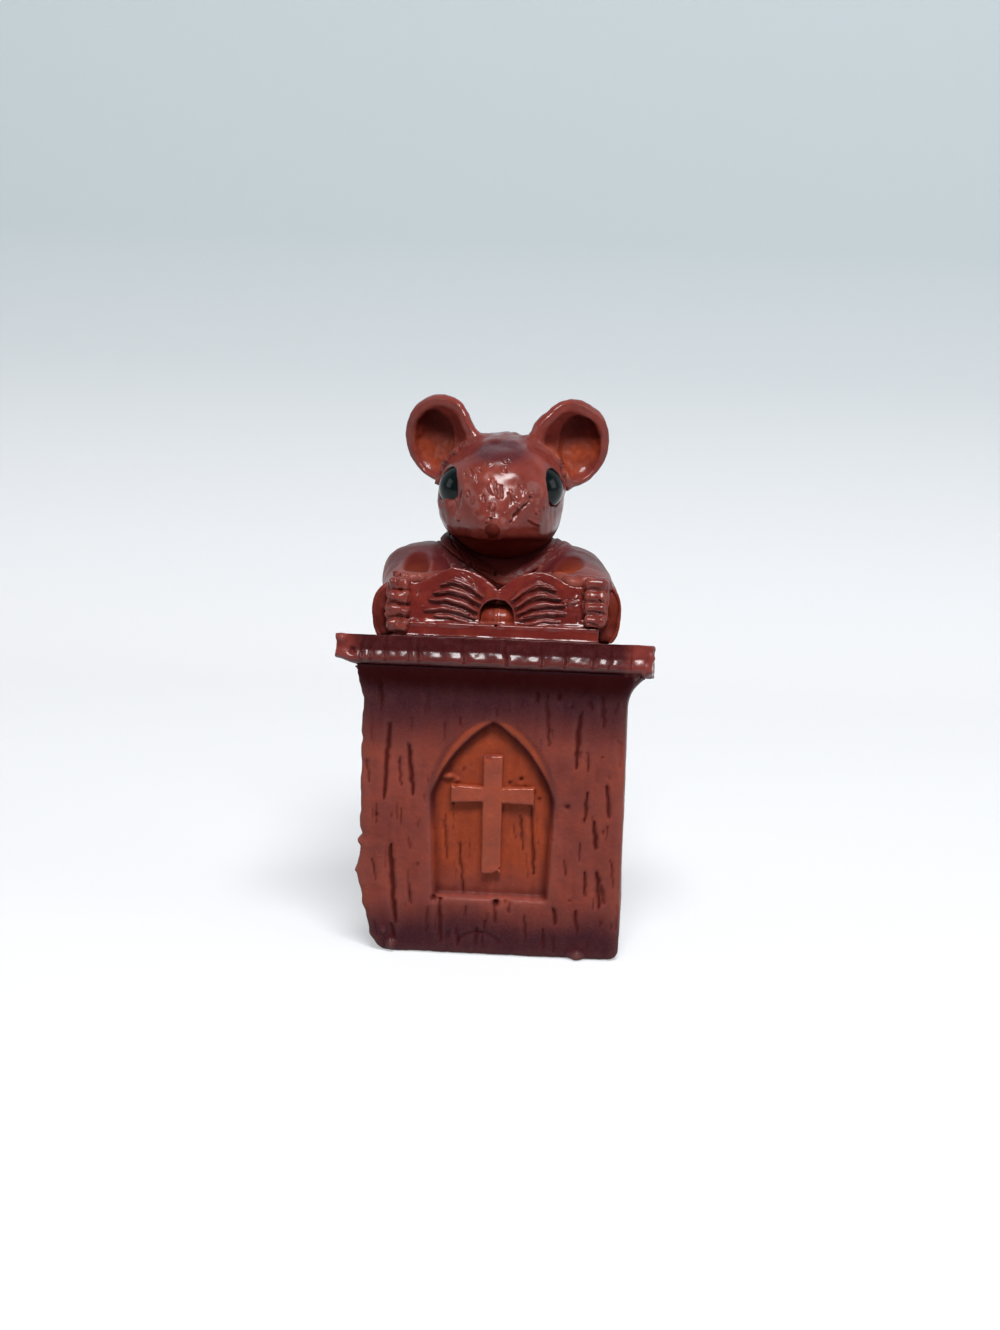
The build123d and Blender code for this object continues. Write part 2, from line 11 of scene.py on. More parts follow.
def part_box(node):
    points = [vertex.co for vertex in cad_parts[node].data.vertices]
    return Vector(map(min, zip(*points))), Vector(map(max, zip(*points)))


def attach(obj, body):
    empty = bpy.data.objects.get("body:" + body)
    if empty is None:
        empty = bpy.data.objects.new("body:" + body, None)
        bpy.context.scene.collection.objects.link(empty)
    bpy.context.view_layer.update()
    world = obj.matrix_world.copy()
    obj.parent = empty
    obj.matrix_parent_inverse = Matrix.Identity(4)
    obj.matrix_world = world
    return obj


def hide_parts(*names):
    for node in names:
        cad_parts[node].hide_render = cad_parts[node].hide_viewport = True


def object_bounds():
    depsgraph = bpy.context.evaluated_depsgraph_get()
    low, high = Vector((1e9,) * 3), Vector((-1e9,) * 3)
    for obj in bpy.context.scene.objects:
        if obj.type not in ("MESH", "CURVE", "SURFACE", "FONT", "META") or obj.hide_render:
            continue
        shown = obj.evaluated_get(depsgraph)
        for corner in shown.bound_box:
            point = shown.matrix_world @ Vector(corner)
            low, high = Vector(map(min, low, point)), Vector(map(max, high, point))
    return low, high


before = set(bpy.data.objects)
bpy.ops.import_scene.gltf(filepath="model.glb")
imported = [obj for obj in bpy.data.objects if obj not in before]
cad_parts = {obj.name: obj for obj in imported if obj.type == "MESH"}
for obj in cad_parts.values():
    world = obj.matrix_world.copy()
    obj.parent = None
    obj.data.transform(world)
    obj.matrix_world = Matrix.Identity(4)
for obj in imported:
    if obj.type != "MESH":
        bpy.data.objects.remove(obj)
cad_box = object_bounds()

# Mouse preacher at a carved pulpit, cast in resin and sprayed in three colours.
# Blender's metres; the sizes below are in millimetres unless a name says more.
mm = 0.001


# ---------------- The room
# A white cloth on a table runs back and up a pale wall, under one large soft
# light over the front of the table, with a weaker one from each side. The wall
# is clear from behind, so that a camera there sees the figure.
camera_turn = radians(3.5)
camera_rise = radians(16)
camera_roll = radians(1.4)
camera_reach = 400
camera_aim = Vector((0, -6, 44.8))
camera_lens = 68.2

behind = Vector(
    (
        sin(camera_turn) * cos(camera_rise),
        -cos(camera_turn) * cos(camera_rise),
        sin(camera_rise),
    )
)
level = Vector((cos(camera_turn), sin(camera_turn), 0))
across = level * cos(camera_roll) + behind.cross(level) * sin(camera_roll)
upward = behind.cross(across)
camera_place = (camera_aim + behind * camera_reach) * mm
camera = bpy.data.objects.new("camera", bpy.data.cameras.new("camera"))
bpy.context.scene.collection.objects.link(camera)
camera.matrix_world = Matrix.Translation(camera_place) @ Matrix(
    (across, upward, behind)
).transposed().to_4x4()
camera.data.lens = camera_lens
camera.data.clip_start = 0.01
bpy.context.scene.camera = camera
bpy.context.scene.view_settings.view_transform = "Standard"


def colour(red, green, blue):
    """A paint's colour as a screen shows it, 0 to 255, turned into Blender's values."""
    channels = [value / 255 for value in (red, green, blue)]
    return tuple(
        value / 12.92 if value <= 0.04045 else ((value + 0.055) / 1.055) ** 2.4
        for value in channels
    ) + (1.0,)


def feed(tree, node, values):
    """Sets a node's inputs to numbers and colours, or joins sockets to them."""
    for name, value in values.items():
        if isinstance(value, (int, float, tuple)):
            node.inputs[name].default_value = value
        else:
            tree.links.new(value, node.inputs[name])


def sum_of(tree, operation, *values):
    """A node that works with two or three numbers, and gives the result's socket."""
    node = tree.nodes.new("ShaderNodeMath")
    node.operation = operation
    feed(tree, node, dict(enumerate(values)))
    return node.outputs[0]


def new_material(name):
    """An empty material with its shader, and the node tree to build it in."""
    material = bpy.data.materials.new(name)
    material.use_nodes = True
    tree = material.node_tree
    return material, tree, tree.nodes["Principled BSDF"]


# In metres
cloth_half_width = 4
cloth_front_edge = -1.2
cloth_start = 0.13
cloth_bend = 0.06
cloth_top = 1.2
cloth_shade_top = 0.09
cloth_steps = 8
cloth_strength = 0.95
cloth_line = [(cloth_front_edge, 0.0), (cloth_start, 0.0)]
for step in range(1, cloth_steps + 1):
    bend = radians(90) * step / cloth_steps
    cloth_line.append(
        (cloth_start + cloth_bend * sin(bend), cloth_bend * (1 - cos(bend)))
    )
cloth_line.append((cloth_start + cloth_bend, cloth_top))
cloth_mesh = bpy.data.meshes.new("table_cloth")
cloth_mesh.from_pydata(
    [
        (side, back, height)
        for side in (-cloth_half_width, cloth_half_width)
        for back, height in cloth_line
    ],
    [],
    [
        (place, place + len(cloth_line), place + len(cloth_line) + 1, place + 1)
        for place in range(len(cloth_line) - 1)
    ],
)
cloth_mesh.polygons.foreach_set("use_smooth", [True] * len(cloth_mesh.polygons))
cloth = bpy.data.objects.new("table_cloth", cloth_mesh)
bpy.context.scene.collection.objects.link(cloth)
cloth_paint, cloth_tree, cloth_shader = new_material("white_cloth")
cloth_place = cloth_tree.nodes.new("ShaderNodeTexCoord").outputs["Object"]
cloth_split = cloth_tree.nodes.new("ShaderNodeSeparateXYZ")
cloth_fade = cloth_tree.nodes.new("ShaderNodeValToRGB")
feed(cloth_tree, cloth_split, {0: cloth_place})
feed(cloth_tree, cloth_fade, {0: cloth_split.outputs["Z"]})
cloth_fade.color_ramp.elements[0].color = colour(180, 181, 183)
cloth_fade.color_ramp.elements[1].position = cloth_shade_top
cloth_fade.color_ramp.elements[1].color = colour(144, 152, 156)
cloth_rays = cloth_tree.nodes.new("ShaderNodeLightPath")
cloth_seen = cloth_rays.outputs["Is Camera Ray"]
for ray in ("Is Glossy Ray", "Is Transmission Ray"):
    cloth_seen = sum_of(cloth_tree, "MAXIMUM", cloth_seen, cloth_rays.outputs[ray])
cloth_behind = cloth_tree.nodes.new("ShaderNodeNewGeometry").outputs["Backfacing"]
feed(cloth_tree, cloth_shader, {
    "Base Color": cloth_fade.outputs["Color"],
    "Emission Color": cloth_fade.outputs["Color"],
    "Emission Strength": sum_of(cloth_tree, "MULTIPLY", cloth_seen, cloth_strength),
    "Roughness": 0.9,
    "Alpha": sum_of(cloth_tree, "SUBTRACT", 1, cloth_behind),
})
cloth.data.materials.append(cloth_paint)

room = bpy.data.worlds.new("room")
bpy.context.scene.world = room
room.use_nodes = True
room_light = room.node_tree.nodes["Background"]
room_light.inputs["Color"].default_value = (0.95, 0.98, 1.0, 1.0)
room_light.inputs["Strength"].default_value = 0.14

lamp_aim = Vector((0, -0.005, 0.045))
for name, place, size, power in (
    ("window", (0.06, -0.26, 0.5), (0.26, 0.13), 3.4),
    ("left_wall", (-0.5, -0.15, 0.25), (0.25, 0.3), 0.4),
    ("right_wall", (0.5, -0.1, 0.25), (0.25, 0.3), 0.5),
):
    lamp = bpy.data.lights.new(name, "AREA")
    lamp.shape = "RECTANGLE"
    lamp.size, lamp.size_y = size
    lamp.energy = power
    holder = bpy.data.objects.new(name, lamp)
    bpy.context.scene.collection.objects.link(holder)
    holder.location = place
    beam = lamp_aim - Vector(place)
    holder.rotation_euler = beam.to_track_quat("-Z", "Y").to_euler()


# ---------------- Pulpit cabinet
# The pulpit's body is poured with the rest of the figure in tinted resin. Its
# front copies gouged old timber round a pointed niche, with flash left along
# the mould's joint, and it is sprayed satin, darker at the foot and at the top,
# with painted shade under the desk and in its cove.
def skin(node, voxel, softening):
    """A closed even skin over a copy of a CAD solid, with its edges eased, and the
    places of its points and the way they face."""
    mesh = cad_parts[node].data.copy()
    mesh.materials.clear()
    piece = bpy.data.objects.new(node + "_cast", mesh)
    bpy.context.scene.collection.objects.link(piece)
    welded = bmesh.new()
    welded.from_mesh(mesh)
    bmesh.ops.remove_doubles(welded, verts=welded.verts, dist=2e-6)
    welded.to_mesh(mesh)
    welded.free()
    bpy.ops.object.select_all(action="DESELECT")
    piece.select_set(True)
    bpy.context.view_layer.objects.active = piece
    remesh = piece.modifiers.new("even", "REMESH")
    remesh.mode = "VOXEL"
    remesh.voxel_size = voxel * mm
    remesh.use_smooth_shade = True
    bpy.ops.object.modifier_apply(modifier=remesh.name)
    eased(piece, softening)
    return piece, *read(piece)


def eased(piece, rounds):
    """Rounds off a skin's edges a little with each round."""
    bpy.context.view_layer.objects.active = piece
    ease = piece.modifiers.new("ease", "SMOOTH")
    ease.factor = 0.5
    ease.iterations = rounds
    bpy.ops.object.modifier_apply(modifier=ease.name)


def read(piece):
    """A skin's points in millimetres, and the way that each one faces."""
    mesh = piece.data
    places = np.empty(len(mesh.vertices) * 3)
    facing = np.empty(len(mesh.vertices) * 3, np.float32)
    mesh.vertices.foreach_get("co", places)
    mesh.vertex_normals.foreach_get("vector", facing)
    return places.reshape(-1, 3) / mm, facing.reshape(-1, 3).astype(float)


def write(piece, places):
    """Moves a skin's points, and keeps them within the object's overall size."""
    low, high = (np.array(corner) / mm for corner in cad_box)
    places = np.clip(places, low, high)
    piece.data.vertices.foreach_set("co", (places * mm).ravel())
    piece.data.update()


def waves(places, size, seed):
    """Smooth random waves between -1 and 1 over space, of a size in millimetres."""
    scaled = places / size + seed * 7.31
    cell = np.floor(scaled).astype(np.int64)
    part = scaled - cell
    part = part * part * (3 - 2 * part)
    total = np.zeros(len(places))
    for corner in itertools.product((0, 1), repeat=3):
        # A hash of the cell's corner gives it a value between -1 and 1
        spot = (cell + corner) * (73856093, 19349663, 83492791)
        value = spot[:, 0] ^ spot[:, 1] ^ spot[:, 2]
        value = ((value & 0xFFFFFF) * 2654435 + 1013904223) & 0xFFFFFFFF
        value = ((value ^ (value >> 13)) * 1274126177) & 0xFFFFFFFF
        share = np.prod(np.where(corner, part, 1 - part), axis=1)
        total += (value / 2**31 - 1) * share
    return total


def ripple(places, *layers):
    """Waves laid over one another, each with a height, a size and a seed."""
    return sum(height * waves(places, size, seed) for height, size, seed in layers)


def fade(values, start, end):
    """0 before start and 1 after end, with a soft turn at each."""
    part = np.clip((values - start) / (end - start), 0, 1)
    return part * part * (3 - 2 * part)


def apart(places, spot, reach):
    """How far each point lies from a spot, as a share of a reach for each axis."""
    return np.linalg.norm((places - np.array(spot)) / np.array(reach), axis=1)


def near(places, spot, reach):
    """1 at a spot, falling softly to 0 at a reach."""
    return 1 - fade(apart(places, spot, reach), 0, 1)


def dab(places, facing, lumps):
    """Raises a lump at each spot, or sinks a dent where its rise is negative."""
    for spot, reach, rise in lumps:
        places += facing * (near(places, spot, reach) * rise)[:, None]


def strokes(places, marks, rag, blunt=1):
    """How deep a carving tool's marks go at each point. A mark is the points of its
    line, then its width and depth. It runs out to a tip at both ends, and blunt
    above 1 rounds its back."""
    wander = np.stack([waves(places, 0.9, seed) for seed in (3, 4, 5)], axis=1)
    ragged = places + rag * wander
    depth = np.zeros(len(places))
    for *line, width, deep in marks:
        line = np.array(line, float)
        steps = np.linalg.norm(np.diff(line, axis=0), axis=1)
        reach = steps.sum() / 2 + width
        chosen = np.flatnonzero(np.linalg.norm(ragged - line.mean(axis=0), axis=1) < reach)
        passed = 0
        for start, along, step in zip(line, np.diff(line, axis=0), steps):
            offset = ragged[chosen] - start
            part = np.clip(offset @ along / step**2, 0, 1)
            gap = np.linalg.norm(offset - part[:, None] * along, axis=1)
            share = (passed + part * step) / steps.sum()
            half = width / 2 * (0.3 + 0.7 * np.sqrt(4 * share * (1 - share)))
            profile = np.clip(1 - (gap / half) ** blunt, 0, 1) ** 0.8
            depth[chosen] = np.maximum(depth[chosen], deep * profile)
            passed += step
    return depth


def carve(places, facing, rag, marks):
    """Cuts a tool's marks into a skin."""
    places -= facing * strokes(places, marks, rag)[:, None]


def hollows(piece, rounds):
    """How far each point lies below the skin round it, in millimetres."""
    places, facing = read(piece)
    mesh = piece.data
    ends = np.empty(len(mesh.edges) * 2, np.int32)
    mesh.edges.foreach_get("vertices", ends)
    first, second = ends.reshape(-1, 2).T
    count = len(places)
    links = np.bincount(first, minlength=count) + np.bincount(second, minlength=count)
    around = places.copy()
    for _ in range(rounds):
        total = np.stack(
            [
                np.bincount(first, around[second, axis], count)
                + np.bincount(second, around[first, axis], count)
                for axis in range(3)
            ],
            axis=1,
        )
        around = total / links[:, None]
    return ((around - places) * facing).sum(axis=1)


def meet(piece, nodes, reach, rise):
    """Raises a skin towards the neighbours that it is cast in one with."""
    places, facing = read(piece)
    for node in nodes:
        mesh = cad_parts[node].data
        corners = [vertex.co / mm for vertex in mesh.vertices]
        tree = BVHTree.FromPolygons(corners, [face.vertices for face in mesh.polygons])
        low, high = (np.array(corner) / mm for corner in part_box(node))
        inside = np.all((places > low - reach) & (places < high + reach), axis=1)
        for index in np.flatnonzero(inside):
            spot, normal, _, gap = tree.find_nearest(Vector(places[index]), reach)
            if spot is None:
                continue
            if (Vector(places[index]) - spot).dot(normal) < 0:
                gap = 0
            places[index] += facing[index] * rise * (1 - gap / reach) ** 2
    write(piece, places)


def spray(piece, bare, shaded, rounds, sunk_and_shade=0.0, dull=0.0):
    """Stores where the undercoat shows, where the dark spray lies, what is hollow
    with any painted shade added to it, and where the paint has dried without its gloss."""
    for name, values in (
        ("bare", bare),
        ("shaded", shaded),
        ("hollow", hollows(piece, rounds) + sunk_and_shade),
        ("dull", dull),
    ):
        values = np.clip(values + np.zeros(len(piece.data.vertices)), -1, 1)
        layer = piece.data.attributes.new(name, "FLOAT", "POINT")
        layer.data.foreach_set("value", values.astype(np.float32))


def mixed(tree, factor, first, second):
    """A node that mixes two colours, and gives the result's socket."""
    node = tree.nodes.new("ShaderNodeMix")
    node.data_type = "RGBA"
    # A mix of colours takes them in sockets 6 and 7, and gives its result in 2
    feed(tree, node, {0: factor, 6: first, 7: second})
    return node.outputs[2]


def varied(tree, value, pattern, amount):
    """Adds a pattern to a value, above it and below it, and gives the socket."""
    middled = sum_of(tree, "SUBTRACT", pattern, 0.5)
    return sum_of(tree, "MULTIPLY_ADD", middled, amount, value)


def noise(tree, place, scale, detail, roughness):
    """A cloud pattern at a scale per metre, and gives its value's socket."""
    node = tree.nodes.new("ShaderNodeTexNoise")
    sizes = {"Scale": scale, "Detail": detail, "Roughness": roughness}
    feed(tree, node, {"Vector": place, **sizes})
    return node.outputs["Fac"]


# Sprayed paint over tinted resin, the same on every cast piece: an orange
# undercoat, a red-brown body colour, and a dark spray that fades off in specks.
sprayed = bpy.data.node_groups.new("sprayed_resin", "ShaderNodeTree")
for side, kind, names in (
    ("INPUT", "NodeSocketColor", ("Undercoat", "Body", "Dark")),
    ("INPUT", "NodeSocketFloat", ("Bare", "Shaded", "Hollow", "Dull", "Softness", "Peel")),
    ("OUTPUT", "NodeSocketColor", ("Color",)),
    ("OUTPUT", "NodeSocketFloat", ("Roughness", "Height")),
):
    for name in names:
        sprayed.interface.new_socket(name, in_out=side, socket_type=kind)
given = sprayed.nodes.new("NodeGroupInput")
result = sprayed.nodes.new("NodeGroupOutput")
place = sprayed.nodes.new("ShaderNodeTexCoord").outputs["Object"]
specks = noise(sprayed, place, 3200, 2, 0.7)
clouds = noise(sprayed, place, 420, 4, 0.6)
patches = noise(sprayed, place, 120, 3, 0.5)
pebbles = noise(sprayed, place, 1500, 3, 0.55)
bare = varied(sprayed, given.outputs["Bare"], clouds, 0.9)
bare = varied(sprayed, bare, specks, 0.35)
bare.node.use_clamp = True
tint = mixed(sprayed, bare, given.outputs["Body"], given.outputs["Undercoat"])
mottle = sum_of(sprayed, "MULTIPLY_ADD", patches, 0.5, 0.75)
mottle = varied(sprayed, mottle, clouds, 0.6)
tone = sprayed.nodes.new("ShaderNodeHueSaturation")
feed(sprayed, tone, {"Value": mottle, "Color": tint})
dark = varied(sprayed, given.outputs["Shaded"], specks, 0.6)
dark = varied(sprayed, dark, clouds, 0.4)
dark.node.use_clamp = True
tint = mixed(sprayed, dark, tone.outputs["Color"], given.outputs["Dark"])
# Hollows take a dark red, partly paint pooled in the cuts and partly painted shade in
# recesses and wherever painted shade is added to the hollow layer. Raised edges turn a
# lighter worn colour.
pool_and_shade_paint = colour(66, 13, 9)
worn_paint = colour(172, 112, 100)
pooled_and_shaded = sum_of(sprayed, "MULTIPLY", given.outputs["Hollow"], 4)
pooled_and_shaded.node.use_clamp = True
tint = mixed(sprayed, sum_of(sprayed, "MULTIPLY", pooled_and_shaded, 0.85), tint, pool_and_shade_paint)
proud = sum_of(sprayed, "MULTIPLY", given.outputs["Hollow"], -2)
proud.node.use_clamp = True
tint = mixed(sprayed, sum_of(sprayed, "MULTIPLY", proud, 0.25), tint, worn_paint)
rough = varied(sprayed, given.outputs["Softness"], clouds, 0.3)
rough = sum_of(sprayed, "MULTIPLY_ADD", pooled_and_shaded, 0.15, rough)
rough = sum_of(sprayed, "MULTIPLY_ADD", given.outputs["Dull"], 0.3, rough)
height = sum_of(sprayed, "MULTIPLY", pebbles, given.outputs["Peel"])
height = sum_of(sprayed, "MULTIPLY_ADD", clouds, 0.8, height)
feed(sprayed, result, {"Color": tint, "Roughness": rough, "Height": height})


def resin(name, body, dark, softness, peel, gloss, haze=0.13):
    """A material of sprayed resin with its own colours, softness, gloss and haze."""
    material, tree, shader = new_material(name)
    coats = tree.nodes.new("ShaderNodeGroup")
    coats.node_tree = sprayed
    paints = {"Undercoat": colour(158, 66, 34), "Body": body, "Dark": dark}
    feed(tree, coats, {**paints, "Softness": softness, "Peel": peel})
    masks = {}
    for layer in ("bare", "shaded", "hollow", "dull"):
        mask = tree.nodes.new("ShaderNodeAttribute")
        mask.attribute_name = layer
        tree.links.new(mask.outputs["Fac"], coats.inputs[layer.capitalize()])
        masks[layer] = mask.outputs["Fac"]
    matt = sum_of(tree, "MULTIPLY_ADD", masks["hollow"], 2.0, masks["dull"])
    matt.node.use_clamp = True
    shine = sum_of(tree, "MULTIPLY_ADD", matt, -gloss, gloss)
    bump = tree.nodes.new("ShaderNodeBump")
    relief = {"Strength": 0.6, "Distance": 0.12 * mm}
    feed(tree, bump, {**relief, "Height": coats.outputs["Height"]})
    feed(tree, shader, {
        "Base Color": coats.outputs["Color"],
        "Roughness": coats.outputs["Roughness"],
        "Normal": bump.outputs["Normal"],
        "Specular IOR Level": 0.08,
        "Coat Weight": shine,
        "Coat IOR": 1.38,
        "Coat Roughness": haze,
    })
    return material


def dress(piece, material, slot, *nodes):
    """Gives a finished piece its paint, and puts it in place of its CAD nodes."""
    piece.data.materials.clear()
    piece.data.materials.append(material)
    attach(piece, "root")
    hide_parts(*nodes)


pulpit_paint = resin(
    "pulpit_satin_resin", colour(124, 59, 51), colour(58, 23, 32), 0.5, 1.5, 0.08
)
# Both ends of each gouge, across and up, then its width and depth
panel_cuts = [
    (-17.8, 45.1, -17.4, 41.3, 0.9, 0.35), (-16.2, 38.1, -17.0, 25.6, 1.1, 0.5),
    (-19.7, 31.9, -19.4, 28.3, 0.8, 0.35), (-14.7, 32.5, -14.3, 27.9, 0.7, 0.35),
    (-13.2, 34.8, -12.4, 26.5, 1.1, 0.55), (-15.9, 18.2, -15.1, 4.9, 1.2, 0.55),
    (-12.8, 11.6, -12.5, 8.1, 0.7, 0.35), (-8.0, 9.0, -7.6, 2.4, 0.9, 0.4),
    (-16.1, 4.8, -15.7, 1.9, 1.0, 0.4), (-5.1, 4.7, -5.0, 1.6, 0.7, 0.3),
    (-2.1, 4.9, -2.0, 1.8, 0.7, 0.3), (0.8, 9.4, 0.9, 5.7, 0.8, 0.35),
    (3.1, 9.5, 3.1, 7.5, 0.8, 0.35), (10.1, 8.5, 10.5, 5.8, 1.0, 0.4),
    (13.5, 8.4, 14.0, 4.6, 0.8, 0.35), (14.9, 15.0, 15.0, 10.8, 0.8, 0.4),
    (16.8, 15.1, 17.3, 8.9, 1.2, 0.5), (17.3, 13.1, 18.1, 9.6, 1.0, 0.45),
    (13.3, 40.7, 12.9, 31.8, 1.0, 0.5), (14.8, 28.1, 14.6, 23.1, 0.8, 0.4),
    (17.8, 29.4, 18.4, 23.9, 0.9, 0.45), (16.0, 23.5, 16.5, 18.7, 1.0, 0.5),
    (14.6, 34.8, 15.0, 31.5, 0.6, 0.3), (19.8, 36.6, 19.9, 32.1, 0.7, 0.3),
    (6.7, 44.2, 6.7, 42.4, 0.6, 0.35), (8.1, 44.1, 8.6, 35.5, 0.7, 0.35),
    (10.1, 44.1, 10.1, 42.8, 0.9, 0.4), (14.7, 43.0, 15.4, 41.5, 0.7, 0.35),
    (16.7, 43.8, 17.2, 38.6, 0.7, 0.35), (-7.6, 38.8, -7.5, 35.7, 0.5, 0.22),
    (-15.1, 25.5, -14.7, 21.9, 0.5, 0.25), (18.9, 17.2, 19.4, 12.2, 0.6, 0.3),
    (-18.8, 15.7, -18.1, 12.0, 0.7, 0.3), (-9.9, 8.2, -9.9, 3.6, 0.6, 0.3),
    (-3.9, 8.5, -3.8, 6.3, 0.5, 0.25), (5.5, 7.3, 5.9, 3.0, 0.6, 0.3),
    (8.6, 4.9, 8.7, 1.8, 0.6, 0.3), (11.7, 16.8, 11.8, 14.2, 0.5, 0.25),
    (20.0, 9.6, 20.1, 5.4, 0.6, 0.3), (-17.5, 43.4, -17.4, 39.9, 0.6, 0.3),
    (-10.8, 42.1, -10.7, 39.5, 0.5, 0.2),
]
niche_cuts = [
    (-7.5, 22.8, -7.0, 15.3, 0.7, 0.35), (-5.2, 18.8, -4.3, 9.8, 0.8, 0.4),
    (4.5, 23.4, 5.0, 17.6, 0.8, 0.4), (5.9, 26.5, 6.8, 13.5, 1.0, 0.45),
    (-6.3, 25.8, -6.0, 19.6, 0.4, 0.2), (-3.5, 19.7, -3.4, 15.8, 0.4, 0.2),
    (3.4, 22.2, 3.8, 19.2, 0.5, 0.3), (7.0, 23.5, 7.5, 17.7, 0.4, 0.25),
    (-5.7, 15.1, -5.7, 12.0, 0.4, 0.2), (5.5, 17.3, 5.9, 12.6, 0.5, 0.25),
]
# The panel's face lies behind the front of the cabinet's foot, and the niche's
# floor behind the panel
panel_y = (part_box("pulpit_cabinet")[0] / mm).y + 2.8
niche_floor_y = panel_y + 1.6
niche_foot = 9.4
niche_spring = 26.3
niche_top = 39.2


def in_niche(places, margin):
    """1 inside the pointed niche's outline and 0 outside, with a soft margin."""
    half = 9.0 + (places[:, 2] - niche_foot) * 0.035
    above = np.clip((places[:, 2] - niche_spring) / (niche_top - niche_spring), 0, 1)
    half = half * np.sqrt(np.clip(1 - above**1.5, 0, 1))
    across_gap = half - np.abs(places[:, 0])
    foot_gap = places[:, 2] - niche_foot
    top_gap = niche_top - places[:, 2]
    return fade(np.minimum(np.minimum(across_gap, foot_gap), top_gap), -margin, margin)


def gouges(cuts, wider=1, deeper=1):
    """The carving marks of upright cuts in the panel, from their ends and sizes."""
    return [
        ((x, 0, z), (end_x, 0, end_z), wider * width, deeper * deep)
        for x, z, end_x, end_z, width, deep in cuts
    ]


cabinet, places, facing = skin("pulpit_cabinet", 0.3, 3)
front = fade(-facing[:, 1], 0.3, 0.7) * fade(47 - places[:, 2], 0, 2)
flat = places.copy()
flat[:, 1] = 0
cuts = strokes(flat, gouges(panel_cuts, 1.15, 1.25), 0.16)
outside = 1 - in_niche(places, 0.2)
# Short chips between the gouges
chance = np.random.RandomState(7)
chip_count = 70
chips = []
for _ in range(chip_count):
    x, z = chance.uniform(-19.5, 20.0), chance.uniform(1.5, 45)
    long, width = chance.uniform(0.8, 3.6), chance.uniform(0.35, 0.6)
    end_x = x + chance.uniform(-0.2, 0.3)
    chips.append(((x, 0, z), (end_x, 0, z - long), width, 0.6 * width))
cuts = np.maximum(cuts, strokes(flat, chips, 0.12))
floor_cuts = strokes(flat, gouges(niche_cuts), 0.16)
places[:, 1] += front * (cuts * outside + floor_cuts * (1 - outside)) * 0.9
unevenness = ripple(places, (0.10, 9, 11), (0.06, 2.6, 12))
unevenness += 0.05 * waves(places * (3.0, 1, 0.35), 2.2, 13)
places += facing * unevenness[:, None]
# Lumps of flash at the foot, and two at the cross's left arm
dab(places, facing, (
    ((-16.4, -18.1, 1.4), (1.9, 1.6, 1.2), 0.8),
    ((13.9, -17.9, 0.8), (1.9, 1.4, 1.1), 0.8),
    ((-18.0, -17.7, 3.6), (0.9, 1.0, 0.8), 0.4),
    ((-7.0, niche_floor_y, 29.4), (1.4, 1.2, 0.6), 0.7),
    ((-5.6, niche_floor_y, 28.9), (0.7, 1.0, 0.5), 0.5),
))
# Pin holes that air left in the resin
for x, z, size, deep in (
    (2.6, 28.6, 0.5, 0.25), (4.4, 29.3, 0.6, 0.3), (5.0, 27.9, 0.5, 0.3),
    (3.4, 26.9, 0.4, 0.2), (6.3, 27.2, 0.6, 0.3), (11.8, 25.6, 0.8, 0.3),
    (-6.2, 24.8, 0.4, 0.2), (7.3, 26.2, 0.5, 0.25), (-18.0, 23.0, 0.5, 0.2),
    (9.6, 20.0, 0.4, 0.2), (-11.5, 15.0, 0.4, 0.2), (4.9, 25.9, 0.4, 0.2),
    (17.0, 34.0, 0.4, 0.2), (-9.5, 30.0, 0.4, 0.15), (12.6, 10.0, 0.4, 0.2),
    (-4.6, 30.6, 0.4, 0.2), (-8.9, 9.3, 0.9, 0.6), (-7.9, 9.2, 0.6, 0.5),
    (1.0, 9.0, 1.0, 0.6), (2.4, 9.2, 0.7, 0.4),
):
    pit = near(flat, (x, 0, z), (size, 1, size))
    places[:, 1] += front * pit * deep * 1.4
# An arc scratched at the foot
ring = np.hypot(flat[:, 0] + 1.6, (flat[:, 2] - 2.0) * 1.6)
places[:, 1] += front * 0.25 * (1 - fade(np.abs(ring - 3.3), 0, 0.45)) * (flat[:, 2] > 2.0)
# Flash along the mould's joint, at the panel's left edge
joint = fade(-places[:, 0], 19.3, 20.4) * (1 - fade(places[:, 1], -16.5, -14.5))
ragged = places * (0, 0.3, 1)
flange = fade(places[:, 2] + 0.5 * waves(places, 2, 17), 10.2, 11.6)
flange *= 1 - fade(places[:, 2], 17.6, 19.4)
lumps = 0.55 + 0.5 * waves(ragged, 1.5, 14) + 0.3 * waves(ragged, 0.6, 15)
places[:, 0] -= joint * (flange * lumps + 0.25 * waves(ragged, 1.3, 16) + 0.1)
places[:, 1] -= front * 0.16 * fade(-places[:, 0], 16.4, 17.0) * flange
# The left lower corner is worn away, and the top flares less than the CAD's
worn = fade(-places[:, 0], 13, 20) * (1 - fade(places[:, 2], 2.5, 9.5))
places[:, 0] += 1.5 * worn
corner = fade(np.abs(places[:, 0]), 20.8, 23.6) * fade(places[:, 2], 43.5, 47.5)
places[:, 0] -= np.sign(places[:, 0]) * corner * np.where(places[:, 0] < 0, 2.4, 1.5)
write(cabinet, places)
height = places[:, 2]
niche = in_niche(places, 0.5)
# Dark spray at the top, which also stands for painted shade under the desk
top_spray_and_shade = fade(height + 1.5 * waves(places, 6, 21), 32.5, 42)
foot_spray = 1 - fade(height + 1.2 * waves(places, 5, 22), 3.5, 10.5)
shaded = np.maximum(top_spray_and_shade * 0.9, foot_spray * 0.95) * (1 - 0.85 * niche)
# The cove under the desk is fully dark with painted shade
shaded = np.maximum(shaded, fade(height, 42.5, 46))
rim = in_niche(places, 1.1) * (1 - in_niche(places, 0.9)) * fade(height, 20, 27)
